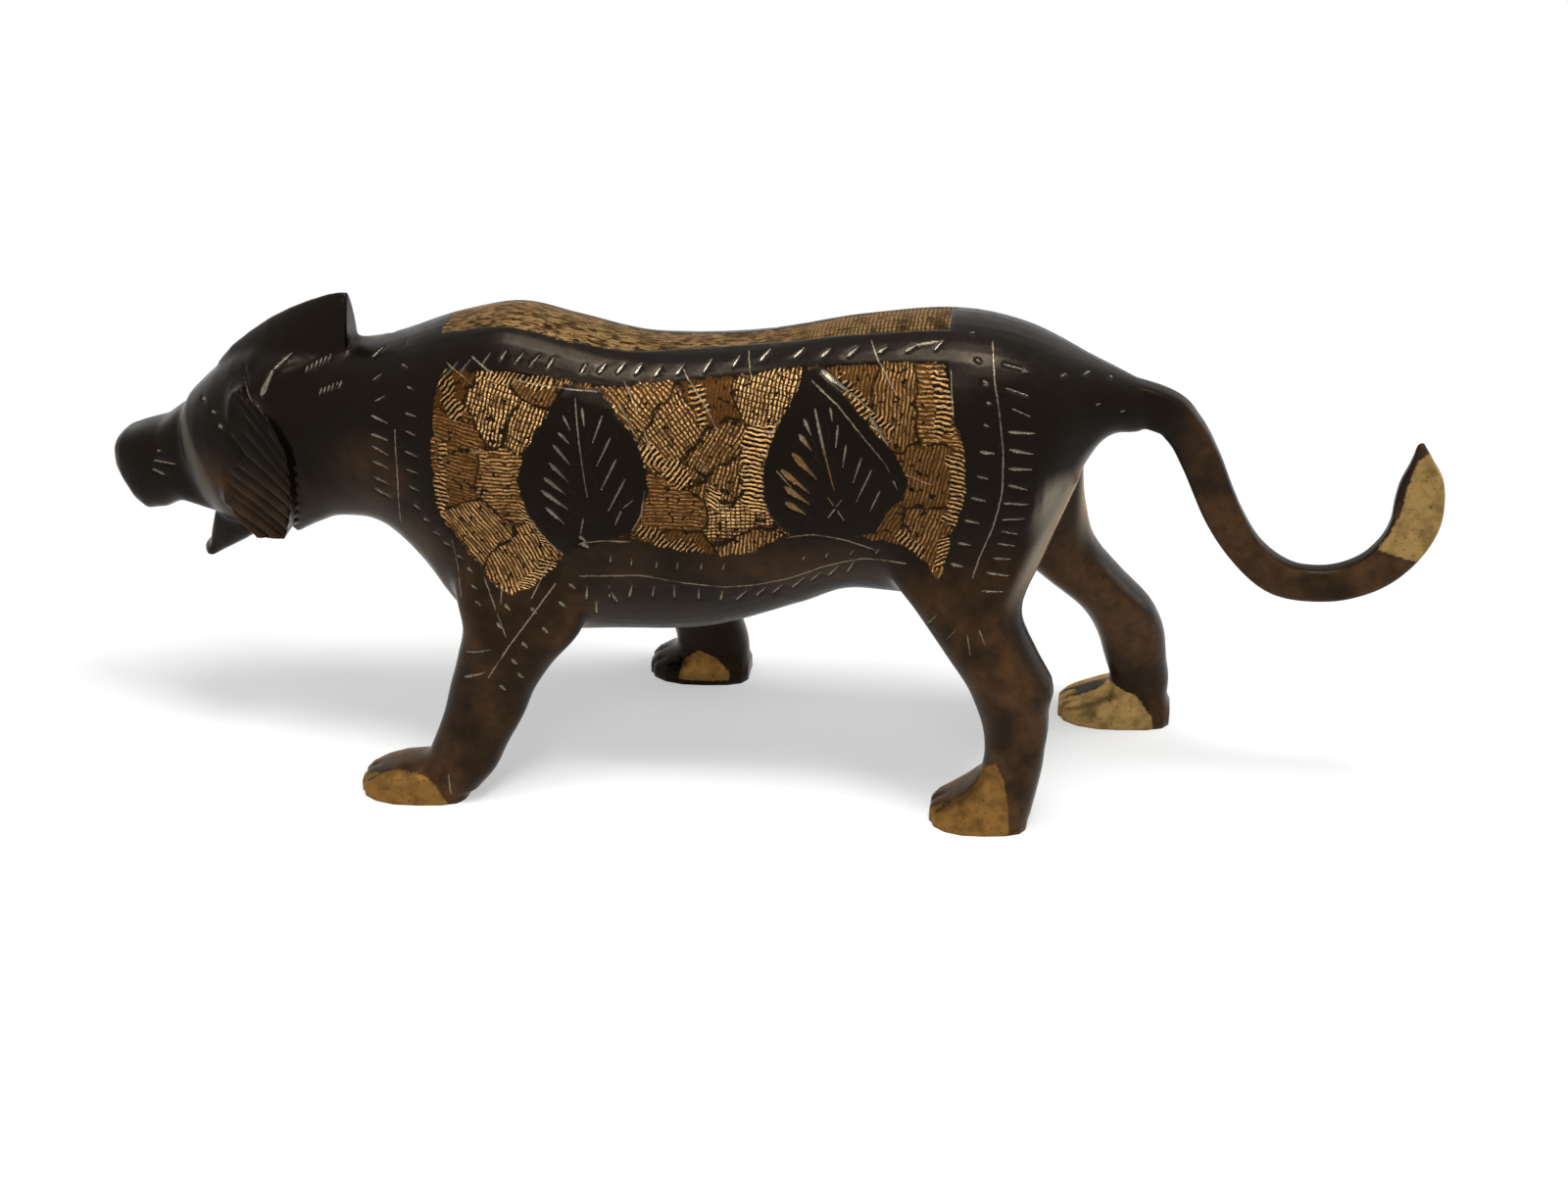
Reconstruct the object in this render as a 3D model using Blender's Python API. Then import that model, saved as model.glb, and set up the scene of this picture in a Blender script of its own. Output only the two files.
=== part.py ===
"""A walking leopard, cast in brass as one piece and finished in dark lacquer, with cut and engraved ornament.

The head looks towards -X and the tail lies towards +X. The near side is -Y, up is +Z, and the feet stand on
z = 0. Every size below is in millimetres and is turned to metres once, when the mesh is made.
"""

import bpy
import bmesh
import numpy as np
from mathutils import Vector

MILLIMETRE = 0.001

# Trunk: places along the body, measured from the middle of the back
WITHERS_FORWARD = 50.0
CROUP_BACK = 40.0
RUMP_BACK = 68.0
TAIL_ROOT_BACK = 78.0

# Trunk: heights above the floor
NECK_TOP = 91.5
THROAT = 51.2
WITHERS_TOP = 101.2
SADDLE_TOP = 96.0
CROUP_TOP = 104.7
TAIL_ROOT_TOP = 92.2
TAIL_ROOT_UNDER = 82.4
CHEST_UNDER = 28.5
BELLY_UNDER = 32.6
FLANK_UNDER = 44.0
RUMP_UNDER = 72.0

# Trunk: widths from side to side
NECK_WIDTH = 26.0
CHEST_WIDTH = 43.5
WAIST_WIDTH = 39.5
HAUNCH_WIDTH = 43.0
RUMP_WIDTH = 20.0
TAIL_ROOT_WIDTH = 8.5

# Head
NOSE_FORWARD = 140.0
MUZZLE_LENGTH = 16.0
MUZZLE_WIDTH = 16.0
MUZZLE_TOP = 70.6
MUZZLE_UNDER = 50.0
BROW_TOP = 80.0
SKULL_TOP = 94.5
SKULL_UNDER = 48.5
SKULL_WIDTH = 29.0
JAW_LENGTH = 11.0
JAW_DROP = 10.0
JAW_WIDTH = 9.0
CREST_TOP = 102.5
CREST_BEHIND_NOSE = 55.0
CREST_THICKNESS = 5.0
CHEEK_LENGTH = 40.0
RUFF_STANDS_OUT = 2.6

# The crest and the start of the neck follow the head
CREST_BACK = NOSE_FORWARD - CREST_BEHIND_NOSE
NECK_START = NOSE_FORWARD - CHEEK_LENGTH

# Legs: how far each foot stands out from the middle plane, and where its paw lies along the body
FRONT_STANCE = 28.0
HIND_STANCE = 22.4
NEAR_FRONT_PAW = -70.5
FAR_FRONT_PAW = -17.8
NEAR_HIND_PAW = 50.4
FAR_HIND_PAW = 78.0
FRONT_PAW_LENGTH = 23.0
NEAR_HIND_PAW_LENGTH = 20.6
FAR_HIND_PAW_LENGTH = 25.0
PAW_WIDTH = 15.5
PAW_HEIGHT = 6.4
TOE_GROOVE = 0.9

# Ornament: fields cut back for engraving, leaves left standing in them, and chiselled strokes
FIELD_DEPTH = 0.55
FIELD_EDGE = 0.9
LEAF_HEIGHT = 31.5
LEAF_HALF_WIDTH = 13.6
STRIPE_HALF_WIDTH = 5.6
STRIPE_DEPTH = 0.3
STROKE_WIDTH = 1.5
STROKE_DEPTH = 0.6
VEIN_LENGTH = 6.2
NECK_DASH = 2.8
HAUNCH_DASH = 4.8
BELLY_DASH = 3.0
BACK_TICK = 2.4
FUR_GROOVE = 0.8
FUR_SPACING = 1.1
EYE_PUNCH = 0.9

# Tail
TAIL_DEPTH = 7.6
TAIL_THICKNESS = 4.6
TAIL_REACH = 56.0
TAIL_DROP = 37.7
TIP_WIDTH = 10.0

# How finely the casting is worked, and how it is finished
VOXEL = 0.7
FILLET_PASSES = 60
CASTING_TRIANGLES = 11400
RING_POINTS = 40


def clear_scene():
    for thing in list(bpy.data.objects):
        bpy.data.objects.remove(thing, do_unlink=True)


def curve_through(points, places):
    """Read a smooth line through a few hand-set points, each (place, value), at the given places."""
    points = np.array(points, float)
    x, y = points[:, 0], points[:, 1]
    slopes = np.gradient(y, x)
    steps = np.diff(y) / np.diff(x)
    for i in range(1, len(x) - 1):
        if steps[i - 1] * steps[i] <= 0:
            slopes[i] = 0.0
    i = np.clip(np.searchsorted(x, places) - 1, 0, len(x) - 2)
    width = x[i + 1] - x[i]
    t = np.clip((places - x[i]) / width, 0.0, 1.0)
    blend = t * t * (3 - 2 * t)
    rise = t * (1 - t) ** 2 * slopes[i] - t * t * (1 - t) * slopes[i + 1]
    return y[i] * (1 - blend) + y[i + 1] * blend + width * rise


def part_way(start, end, share):
    """A place between two others: share 0 is the start and 1 is the end."""
    return start + (end - start) * share


def superellipse(count, power):
    """One turn of a rounded square: 2 is an ellipse, and a larger power is squarer."""
    turn = np.linspace(0.0, 2 * np.pi, count, endpoint=False)
    across = np.sign(np.cos(turn)) * np.abs(np.cos(turn)) ** (2 / power)
    along = np.sign(np.sin(turn)) * np.abs(np.sin(turn)) ** (2 / power)
    return across, along


class Clay:
    """The shells that are fused into the casting."""

    def __init__(self):
        self.points = []
        self.faces = []

    def loft(self, rings):
        """Join closed rings of points, one after another, and close both ends."""
        first = len(self.points)
        count = len(rings[0])
        for ring in rings:
            self.points.extend(tuple(p) for p in ring)
        for r in range(len(rings) - 1):
            low = first + r * count
            for i in range(count):
                j = (i + 1) % count
                self.faces.append((low + i, low + j, low + count + j, low + count + i))
        last = first + (len(rings) - 1) * count
        self.faces.append(tuple(range(first + count - 1, first - 1, -1)))
        self.faces.append(tuple(range(last, last + count)))

    def upright_sections(self, stations, power):
        """Sections across the body, each (x, half width, top, bottom, height of the widest part)."""
        across, along = superellipse(RING_POINTS, power)
        rings = []
        for x, half_width, top, bottom, widest in stations:
            height = np.where(along > 0, (top - widest) * along, (widest - bottom) * along)
            rings.append([(x, half_width * a, widest + h) for a, h in zip(across, height)])
        self.loft(rings)

    def level_sections(self, stations, power):
        """Sections of a leg or crest. Each station is (z, x, y, half depth along x, half width along y)."""
        across, along = superellipse(RING_POINTS, power)
        self.loft([[(x + depth * a, y + width * b, z) for a, b in zip(across, along)]
                   for z, x, y, depth, width in stations])

    def swept_bar(self, path, half_depths, half_thickness, power):
        """A bar along a path in the middle plane, its depth in that plane and its thickness along y."""
        across, along = superellipse(RING_POINTS, power)
        path = np.array(path, float)
        direction = np.gradient(path, axis=0)
        direction /= np.linalg.norm(direction, axis=1)[:, None]
        rings = []
        for (x, z), (dx, dz), depth, thick in zip(path, direction, half_depths, half_thickness):
            rings.append([(x - dz * depth * a, thick * b, z + dx * depth * a) for a, b in zip(across, along)])
        self.loft(rings)


def model_trunk(clay):
    """Neck, chest, belly and haunches in one run of sections."""
    neck, withers, croup, rump, root = -NECK_START, -WITHERS_FORWARD, CROUP_BACK, RUMP_BACK, TAIL_ROOT_BACK
    back = [(neck, NECK_TOP - 1.0), (part_way(neck, withers, 0.40), NECK_TOP + 0.6),
            (part_way(neck, withers, 0.76), WITHERS_TOP - 2.5), (withers, WITHERS_TOP),
            (part_way(withers, croup, 0.13), WITHERS_TOP - 2.3), (part_way(withers, croup, 0.31), SADDLE_TOP),
            (part_way(withers, croup, 0.56), SADDLE_TOP + 1.9),
            (part_way(withers, croup, 0.80), CROUP_TOP - 2.1), (croup, CROUP_TOP),
            (part_way(croup, rump, 0.46), CROUP_TOP - 1.7), (rump, TAIL_ROOT_TOP + 4.5),
            (root, TAIL_ROOT_TOP + 0.4)]
    under = [(neck, THROAT - 2.0), (part_way(neck, withers, 0.40), THROAT - 0.4),
             (part_way(neck, withers, 0.60), THROAT - 9.6),
             (part_way(neck, withers, 0.72), CHEST_UNDER + 4.6),
             (part_way(neck, withers, 0.86), CHEST_UNDER + 0.6), (withers, CHEST_UNDER),
             (part_way(withers, croup, 0.24), CHEST_UNDER + 1.9),
             (part_way(withers, croup, 0.47), BELLY_UNDER),
             (part_way(withers, croup, 0.67), BELLY_UNDER + 6.9),
             (part_way(withers, croup, 0.80), FLANK_UNDER + 0.2), (part_way(croup, rump, 0.07), FLANK_UNDER),
             (part_way(croup, rump, 0.54), FLANK_UNDER + 3.5),
             (part_way(croup, rump, 0.75), RUMP_UNDER - 14.0), (part_way(croup, rump, 0.93), RUMP_UNDER),
             (part_way(rump, root, 0.25), RUMP_UNDER + 8.5), (root, TAIL_ROOT_UNDER)]
    sides = [(neck, NECK_WIDTH / 2 - 1.0), (part_way(neck, withers, 0.24), NECK_WIDTH / 2 + 0.2),
             (part_way(neck, withers, 0.60), NECK_WIDTH / 2 + 4.2),
             (part_way(neck, withers, 0.82), CHEST_WIDTH / 2 - 1.6),
             (part_way(withers, croup, 0.11), CHEST_WIDTH / 2),
             (part_way(withers, croup, 0.24), CHEST_WIDTH / 2),
             (part_way(withers, croup, 0.60), WAIST_WIDTH / 2),
             (part_way(withers, croup, 0.78), WAIST_WIDTH / 2), (croup, HAUNCH_WIDTH / 2),
             (part_way(croup, rump, 0.39), HAUNCH_WIDTH / 2 - 1.0),
             (part_way(croup, rump, 0.75), RUMP_WIDTH / 2 + 6.5), (rump, RUMP_WIDTH / 2),
             (root, TAIL_ROOT_WIDTH / 2)]
    places = np.linspace(-NECK_START, TAIL_ROOT_BACK, 60)
    tops = curve_through(back, places)
    bottoms = curve_through(under, places)
    halves = curve_through(sides, places)
    widest = bottoms + (tops - bottoms) * 0.48
    clay.upright_sections(zip(places, halves, tops, bottoms, widest), 2.35)


def model_head(clay):
    """A blocky muzzle, a deeper skull behind it and a small pointed lower jaw that hangs open."""
    nose = -NOSE_FORWARD
    brow = nose + MUZZLE_LENGTH
    half = MUZZLE_WIDTH / 2
    middle = (MUZZLE_TOP + MUZZLE_UNDER) / 2
    clay.upright_sections([
        (nose, half * 0.36, MUZZLE_TOP - 5.6, MUZZLE_UNDER + 12.4, middle + 3.0),
        (nose + 0.9, half * 0.62, MUZZLE_TOP - 3.8, MUZZLE_UNDER + 9.4, middle + 2.0),
        (nose + 2.4, half * 0.80, MUZZLE_TOP - 2.6, MUZZLE_UNDER + 6.6, middle + 1.0),
        (nose + 4.4, half * 0.90, MUZZLE_TOP - 1.8, MUZZLE_UNDER + 2.4, middle),
        (nose + 6.6, half * 0.96, MUZZLE_TOP - 1.0, MUZZLE_UNDER + 0.4, middle),
        (nose + 11.0, half, MUZZLE_TOP + 0.4, MUZZLE_UNDER + 1.3, middle),
        (brow - 1.0, half + 0.5, MUZZLE_TOP + 3.4, MUZZLE_UNDER + 1.4, middle),
        (brow + 8.0, half + 1.0, BROW_TOP, MUZZLE_UNDER + 0.8, middle)], 2.9)
    skull = (SKULL_TOP + SKULL_UNDER) / 2
    wide = SKULL_WIDTH / 2
    clay.upright_sections([
        (brow + 0.9, wide * 0.42, BROW_TOP - 4.5, MUZZLE_UNDER + 9.0, skull - 2.0),
        (brow + 2.6, wide * 0.66, BROW_TOP - 0.2, MUZZLE_UNDER + 4.6, skull - 2.0),
        (brow + 6.0, wide * 0.80, BROW_TOP + 3.6, MUZZLE_UNDER + 1.0, skull - 2.0),
        (brow + 9.5, wide * 0.89, BROW_TOP + 7.0, SKULL_UNDER + 0.6, skull - 2.0),
        (brow + 14.0, wide * 0.96, BROW_TOP + 10.6, SKULL_UNDER, skull - 1.5),
        (brow + 19.0, wide, SKULL_TOP - 0.6, SKULL_UNDER, skull - 1.0),
        (brow + 24.5, wide * 0.97, SKULL_TOP + 0.8, SKULL_UNDER + 0.2, skull),
        (brow + 28.5, wide * 0.88, SKULL_TOP + 0.4, SKULL_UNDER + 3.0, skull + 1.0),
        (brow + 31.0, wide * 0.70, SKULL_TOP - 2.5, SKULL_UNDER + 6.5, skull + 1.5)], 2.5)
    hinge = brow + 5.0
    lip = MUZZLE_UNDER - JAW_DROP
    half = JAW_WIDTH / 2
    clay.upright_sections([
        (hinge - 0.36 * JAW_LENGTH, half * 0.30, lip + 3.4, lip - 0.4, lip + 1.6),
        (hinge - 0.26 * JAW_LENGTH, half * 0.64, lip + 6.6, lip - 1.2, lip + 2.0),
        (hinge - 0.06 * JAW_LENGTH, half * 0.90, MUZZLE_UNDER + 0.8, lip - 0.8, lip + 3.0),
        (hinge + 0.34 * JAW_LENGTH, half * 1.10, MUZZLE_UNDER + 4.0, lip + 1.0, lip + 6.0),
        (hinge + 0.80 * JAW_LENGTH, half * 1.35, MUZZLE_UNDER + 6.0, lip + 4.4, lip + 9.0),
        (hinge + 1.30 * JAW_LENGTH, half * 1.45, MUZZLE_UNDER + 8.0, lip + 9.5, lip + 13.0)], 2.2)


def model_crest(clay):
    """The ears, swept back and pressed together into one fin along the top of the skull."""
    back = -CREST_BACK
    half = CREST_THICKNESS / 2
    levels = [(SKULL_TOP - 8.0, 24.0, 8.5), (SKULL_TOP - 2.4, 23.0, 5.6), (SKULL_TOP + 0.6, 19.5, 1.5 * half),
              (SKULL_TOP + 2.2, 15.8, 1.25 * half), (CREST_TOP - 3.8, 11.8, 1.1 * half),
              (CREST_TOP - 1.9, 7.4, 0.95 * half), (CREST_TOP - 0.6, 3.8, 0.75 * half),
              (CREST_TOP, 1.6, 0.4 * half)]
    clay.level_sections([(z, back - length / 2 + 0.07 * (CREST_TOP - z), 0.0, length / 2, side)
                         for z, length, side in levels], 3.2)


def model_ruffs(clay):
    """A raised fan of fur on each cheek, level with the cheek in front and standing out behind."""
    back = -NOSE_FORWARD + CHEEK_LENGTH
    foot = SKULL_UNDER + 1.5
    outline = [(-3.8, 36.5, 0.2), (-1.2, 32.5, 0.5), (1.2, 25.5, 0.8), (2.8, 20.5, 1.0), (5.2, 16.5, 1.0),
               (5.4, 11.5, 1.0), (3.9, 5.5, 1.0), (2.4, 2.0, 0.9), (-0.2, 0.2, 0.7), (-7.3, 0.0, 0.2),
               (-12.5, 3.5, -0.3), (-13.0, 11.0, -0.5), (-10.5, 23.0, -0.4), (-7.0, 33.0, -0.2)]
    cheek = SKULL_WIDTH / 2
    for side in (-1, 1):
        outer = [(back + x, side * (cheek + RUFF_STANDS_OUT * out - abs(z - 15.0) * 0.05), foot + z)
                 for x, z, out in outline]
        inner = [(x, side * cheek * 0.4, z) for x, y, z in outer]
        clay.loft([inner, outer])


def model_leg(clay, stations, stance, side):
    """A leg from inside the trunk to its ankle. Each station is (z, x, half depth, out, half width)."""
    heights = np.linspace(stations[0][0], stations[-1][0], 24)
    table = np.array(sorted(stations), float)
    read = [curve_through(table[:, (0, column)], heights) for column in range(1, 5)]
    x, depth, out, width = read
    clay.level_sections([(z, x[i], side * stance * out[i], depth[i], width[i])
                         for i, z in enumerate(heights)], 2.3)


def model_paw(clay, place, length, out, rise):
    """A flat paw that reaches below the floor, where the sole is cut later. rise lifts its instep."""
    half = PAW_WIDTH / 2
    front = place - length / 2
    sections = [(0.0, 0.42, PAW_HEIGHT * 0.45), (0.06, 0.68, PAW_HEIGHT * 0.66),
                (0.18, 0.90, PAW_HEIGHT * 0.84), (0.36, 1.0, PAW_HEIGHT + rise * 0.30),
                (0.58, 0.96, PAW_HEIGHT + rise), (0.80, 0.86, PAW_HEIGHT + rise * 0.9),
                (0.94, 0.70, PAW_HEIGHT), (1.0, 0.45, PAW_HEIGHT * 0.6)]
    stations = [(front + share * length, half * wide, top, -6.0, 1.2) for share, wide, top in sections]
    first = len(clay.points)
    clay.upright_sections(stations, 2.6)
    clay.points[first:] = [(x, y + out, z) for x, y, z in clay.points[first:]]


def model_legs(clay):
    """Near legs first: both near legs lead, and both far legs trail."""
    shoulder = -WITHERS_FORWARD
    hip = CROUP_BACK
    near_front = [(60.0, shoulder + 5.0, 16.0, 0.42, 7.0), (46.0, shoulder + 2.5, 15.0, 0.56, 8.0),
                  (38.0, shoulder + 2.6, 13.0, 0.66, 8.2), (30.5, shoulder - 0.8, 10.3, 0.76, 7.2),
                  (24.5, NEAR_FRONT_PAW + 17.0, 9.1, 0.83, 6.4),
                  (19.0, NEAR_FRONT_PAW + 15.3, 8.6, 0.89, 6.0),
                  (12.0, NEAR_FRONT_PAW + 12.2, 8.0, 0.95, 5.8),
                  (7.0, NEAR_FRONT_PAW + 10.0, 7.9, 0.99, 5.8), (2.0, NEAR_FRONT_PAW + 7.0, 7.0, 1.0, 5.8)]
    far_front = [(60.0, shoulder + 8.0, 16.0, 0.42, 7.0), (46.0, shoulder + 14.0, 14.0, 0.55, 8.0),
                 (36.0, shoulder + 21.5, 11.5, 0.70, 7.6), (26.0, shoulder + 28.5, 9.4, 0.84, 6.6),
                 (14.5, FAR_FRONT_PAW + 1.8, 8.2, 0.95, 6.0), (6.0, FAR_FRONT_PAW + 3.0, 8.3, 1.0, 6.0),
                 (2.0, FAR_FRONT_PAW + 3.0, 7.8, 1.0, 5.8)]
    near_hind = [(76.0, hip + 8.0, 19.0, 0.40, 8.0), (60.0, hip + 3.0, 18.0, 0.54, 9.4),
                 (47.0, hip + 6.4, 10.6, 0.76, 8.6), (38.0, hip + 12.0, 9.4, 0.87, 7.6),
                 (32.5, hip + 15.5, 9.0, 0.92, 6.8), (28.0, NEAR_HIND_PAW + 5.8, 7.6, 0.95, 6.0),
                 (23.0, NEAR_HIND_PAW + 6.7, 6.8, 0.97, 5.4), (16.7, NEAR_HIND_PAW + 6.8, 6.2, 1.0, 5.2),
                 (11.0, NEAR_HIND_PAW + 6.1, 6.3, 1.0, 5.3), (2.0, NEAR_HIND_PAW + 4.7, 6.2, 1.0, 5.4)]
    far_hind = [(76.0, hip + 9.0, 18.0, 0.40, 8.0), (58.0, hip + 13.5, 15.0, 0.55, 8.4),
                (47.0, hip + 21.6, 10.0, 0.68, 8.0), (39.2, hip + 28.6, 8.8, 0.76, 7.6),
                (31.0, FAR_HIND_PAW - 1.5, 8.0, 0.84, 6.8), (25.0, FAR_HIND_PAW + 1.6, 7.6, 0.90, 6.2),
                (16.0, FAR_HIND_PAW + 3.8, 6.9, 0.97, 5.6), (9.0, FAR_HIND_PAW + 5.2, 6.5, 1.0, 5.4),
                (2.0, FAR_HIND_PAW + 5.0, 6.4, 1.0, 5.4)]
    model_leg(clay, near_front, FRONT_STANCE, -1)
    model_leg(clay, far_front, FRONT_STANCE, 1)
    model_leg(clay, near_hind, HIND_STANCE, -1)
    model_leg(clay, far_hind, HIND_STANCE, 1)
    model_paw(clay, NEAR_FRONT_PAW, FRONT_PAW_LENGTH, -FRONT_STANCE, 1.8)
    model_paw(clay, FAR_FRONT_PAW, FRONT_PAW_LENGTH, FRONT_STANCE, 1.0)
    model_paw(clay, NEAR_HIND_PAW, NEAR_HIND_PAW_LENGTH, -HIND_STANCE, 7.0)
    model_paw(clay, FAR_HIND_PAW, FAR_HIND_PAW_LENGTH, HIND_STANCE, 3.5)


def model_tail(clay):
    """A squared bar that drops from the rump, sweeps up again and ends in a leaf-shaped tip."""
    root = TAIL_ROOT_BACK
    high = (TAIL_ROOT_TOP + TAIL_ROOT_UNDER) / 2
    low = high - TAIL_DROP
    end = root + TAIL_REACH
    path = [(root - 12.0, high + 3.0), (root + 3.6, high - 0.2), (root + 8.8, high - 4.2),
            (root + 12.8, high - 11.0), (root + 18.2, high - 22.7), (root + 23.8, high - 31.0),
            (root + 30.4, low + 1.3), (root + 37.2, low - 0.1), (root + 44.0, low + 0.9),
            (end - 5.6, low + 4.5), (end - 0.9, low + 10.8), (end + 0.9, low + 18.0), (end + 0.8, low + 24.6),
            (end + 0.2, low + 29.6), (end - 0.5, low + 33.2)]
    bar, tip = TAIL_DEPTH / 2, TIP_WIDTH / 2
    depths = [bar * 1.3, bar * 1.16, bar * 1.06, bar * 1.05, bar * 1.02, bar * 0.96, bar * 1.03,
              bar * 0.99, bar * 1.02, bar * 1.10, tip * 0.92, tip * 1.0, tip * 0.86, tip * 0.42, tip * 0.12]
    thick = TAIL_THICKNESS / 2
    sides = [thick * 1.5, thick * 1.35, thick * 1.2, thick * 1.1, thick, thick, thick, thick, thick,
             thick, thick * 0.95, thick * 0.85, thick * 0.75, thick * 0.6, thick * 0.3]
    steps = np.arange(len(path), dtype=float)
    fine = np.linspace(0.0, steps[-1], 90)
    smooth = [curve_through(list(zip(steps, values)), fine)
              for values in ([p[0] for p in path], [p[1] for p in path], depths, sides)]
    clay.swept_bar(list(zip(smooth[0], smooth[1])), smooth[2], smooth[3], 3.6)


def mesh_arrays(mesh):
    """Vertex positions and edges as arrays, in millimetres."""
    points = np.empty(len(mesh.vertices) * 3)
    mesh.vertices.foreach_get("co", points)
    edges = np.empty(len(mesh.edges) * 2, int)
    mesh.edges.foreach_get("vertices", edges)
    return points.reshape(-1, 3) / MILLIMETRE, edges.reshape(-1, 2)


def vertex_normals(mesh):
    normals = np.empty(len(mesh.vertices) * 3)
    mesh.vertices.foreach_get("normal", normals)
    return normals.reshape(-1, 3)


def put_back(mesh, points):
    mesh.vertices.foreach_set("co", (points * MILLIMETRE).ravel())
    mesh.update()


def towards_neighbours(points, edges, degree):
    """The step from each vertex to the middle of its neighbours."""
    a, b = edges[:, 0], edges[:, 1]
    total = np.stack([np.bincount(a, points[b, k], len(points)) + np.bincount(b, points[a, k], len(points))
                      for k in range(3)], axis=1)
    return total / degree[:, None] - points


def smooth_casting(mesh):
    """Take off the stair steps, then fill the inner corners where the limbs and the tail leave the body."""
    points, edges = mesh_arrays(mesh)
    degree = np.bincount(edges.ravel(), minlength=len(points)).astype(float)
    for step in range(6):
        points += 0.5 * towards_neighbours(points, edges, degree)
        points -= 0.53 * towards_neighbours(points, edges, degree)
    put_back(mesh, points)
    head_end = -NOSE_FORWARD + CHEEK_LENGTH + 15.0
    on_body = np.clip((points[:, 0] - head_end) / 6.0, 0.0, 1.0)
    for step in range(FILLET_PASSES):
        if step % 10 == 0:
            put_back(mesh, points)
            normals = vertex_normals(mesh)
        pull = towards_neighbours(points, edges, degree)
        hollow = np.einsum("ij,ij->i", pull, normals) > 0
        amount = np.where(hollow, 0.6 * on_body, 0.0)
        if step < 6:
            amount = np.where(hollow, 0.6, 0.0)
        points += amount[:, None] * pull
    for step in range(4):
        points += 0.5 * towards_neighbours(points, edges, degree)
        points -= 0.53 * towards_neighbours(points, edges, degree)
    put_back(mesh, points)


def distance_to(places, start, end):
    """How far each place, as (x, z), lies from one straight line."""
    start, end = np.array(start, float), np.array(end, float)
    run = end - start
    share = np.clip((places - start) @ run / max(run @ run, 1e-9), 0.0, 1.0)
    return np.linalg.norm(places - start - share[:, None] * run, axis=1)


def soft_step(values):
    values = np.clip(values, 0.0, 1.0)
    return values * values * (3.0 - 2.0 * values)


def inside_outline(places, outline):
    """Depth inside a closed outline, negative outside it."""
    away = np.full(len(places), 1e9)
    inside = np.zeros(len(places), bool)
    for (x0, z0), (x1, z1) in zip(outline, outline[1:] + outline[:1]):
        away = np.minimum(away, distance_to(places, (x0, z0), (x1, z1)))
        if z0 == z1:
            continue
        crosses = (places[:, 1] > min(z0, z1)) & (places[:, 1] <= max(z0, z1))
        at = x0 + (places[:, 1] - z0) * (x1 - x0) / (z1 - z0)
        inside ^= crosses & (places[:, 0] < at)
    return np.where(inside, away, -away)


def inside_leaf(places, middle, foot, height, half_width, crown):
    """Depth inside an upright leaf with a round foot and a narrow crown."""
    share = (places[:, 1] - foot) / height
    profile = [(0.0, 0.42), (0.10, 0.74), (0.30, 0.96), (0.48, 1.0), (0.66, 0.82), (0.84, 0.50), (1.0, crown)]
    half = half_width * curve_through(profile, np.clip(share, 0.0, 1.0))
    ends = np.minimum(places[:, 1] - foot, foot + height - places[:, 1])
    return np.minimum(ends, half - np.abs(places[:, 0] - middle))


def row_of_strokes(guide, count, length, lean):
    """Equal strokes along a guide line. lean is the stroke's angle from +X, in degrees."""
    guide = np.array(guide, float)
    steps = np.concatenate([[0.0], np.cumsum(np.linalg.norm(np.diff(guide, axis=0), axis=1))])
    reach = np.array([np.cos(np.radians(lean)), np.sin(np.radians(lean))]) * length / 2
    strokes = []
    for travel in np.linspace(0.0, steps[-1], count):
        middle = np.array([np.interp(travel, steps, guide[:, 0]), np.interp(travel, steps, guide[:, 1])])
        strokes.append((tuple(middle - reach), tuple(middle + reach)))
    return strokes


def leaf_veins(middle, foot, pairs, spread):
    """A midrib with veins that climb away from it on both sides."""
    strokes = [((middle - 1.6, foot + LEAF_HEIGHT * 0.90), (middle + 1.2, foot + LEAF_HEIGHT * 0.36))]
    for k in range(pairs):
        height = foot + LEAF_HEIGHT * (0.20 + 0.62 * k / (pairs - 1))
        out = spread * (1.0 - 0.55 * k / (pairs - 1))
        for side in (-1, 1):
            start = (middle + side * out * 0.35, height - VEIN_LENGTH * 0.4)
            strokes.append((start, (middle + side * out, height + VEIN_LENGTH * 0.4)))
    return strokes


def flank_field():
    """The outline of the engraved field on each flank, as (x, z)."""
    front, rear = -WITHERS_FORWARD, CROUP_BACK
    top = SADDLE_TOP
    return [(front - 14.0, top - 8.0), (front - 11.5, top - 3.0), (front, top - 2.2),
            (front + 18.0, top - 4.6), (front + 33.0, top - 4.0), (rear - 40.0, top - 2.0),
            (rear - 22.0, top + 1.6), (rear - 0.5, top + 4.0), (rear + 1.2, top - 5.0),
            (rear + 4.4, top - 13.0), (rear + 4.4, top - 19.0), (rear + 2.0, top - 31.0),
            (rear, top - 38.0), (rear - 7.0, top - 35.0), (rear - 16.0, top - 32.5),
            (rear - 32.0, top - 33.0), (rear - 41.0, top - 37.5), (front + 37.0, top - 37.5),
            (front + 27.0, top - 35.5), (front + 13.0, top - 38.5), (front + 8.5, top - 45.0),
            (front + 1.8, top - 48.5), (front - 5.5, top - 44.5), (front - 13.0, top - 37.5),
            (front - 14.5, top - 24.0)]


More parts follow.
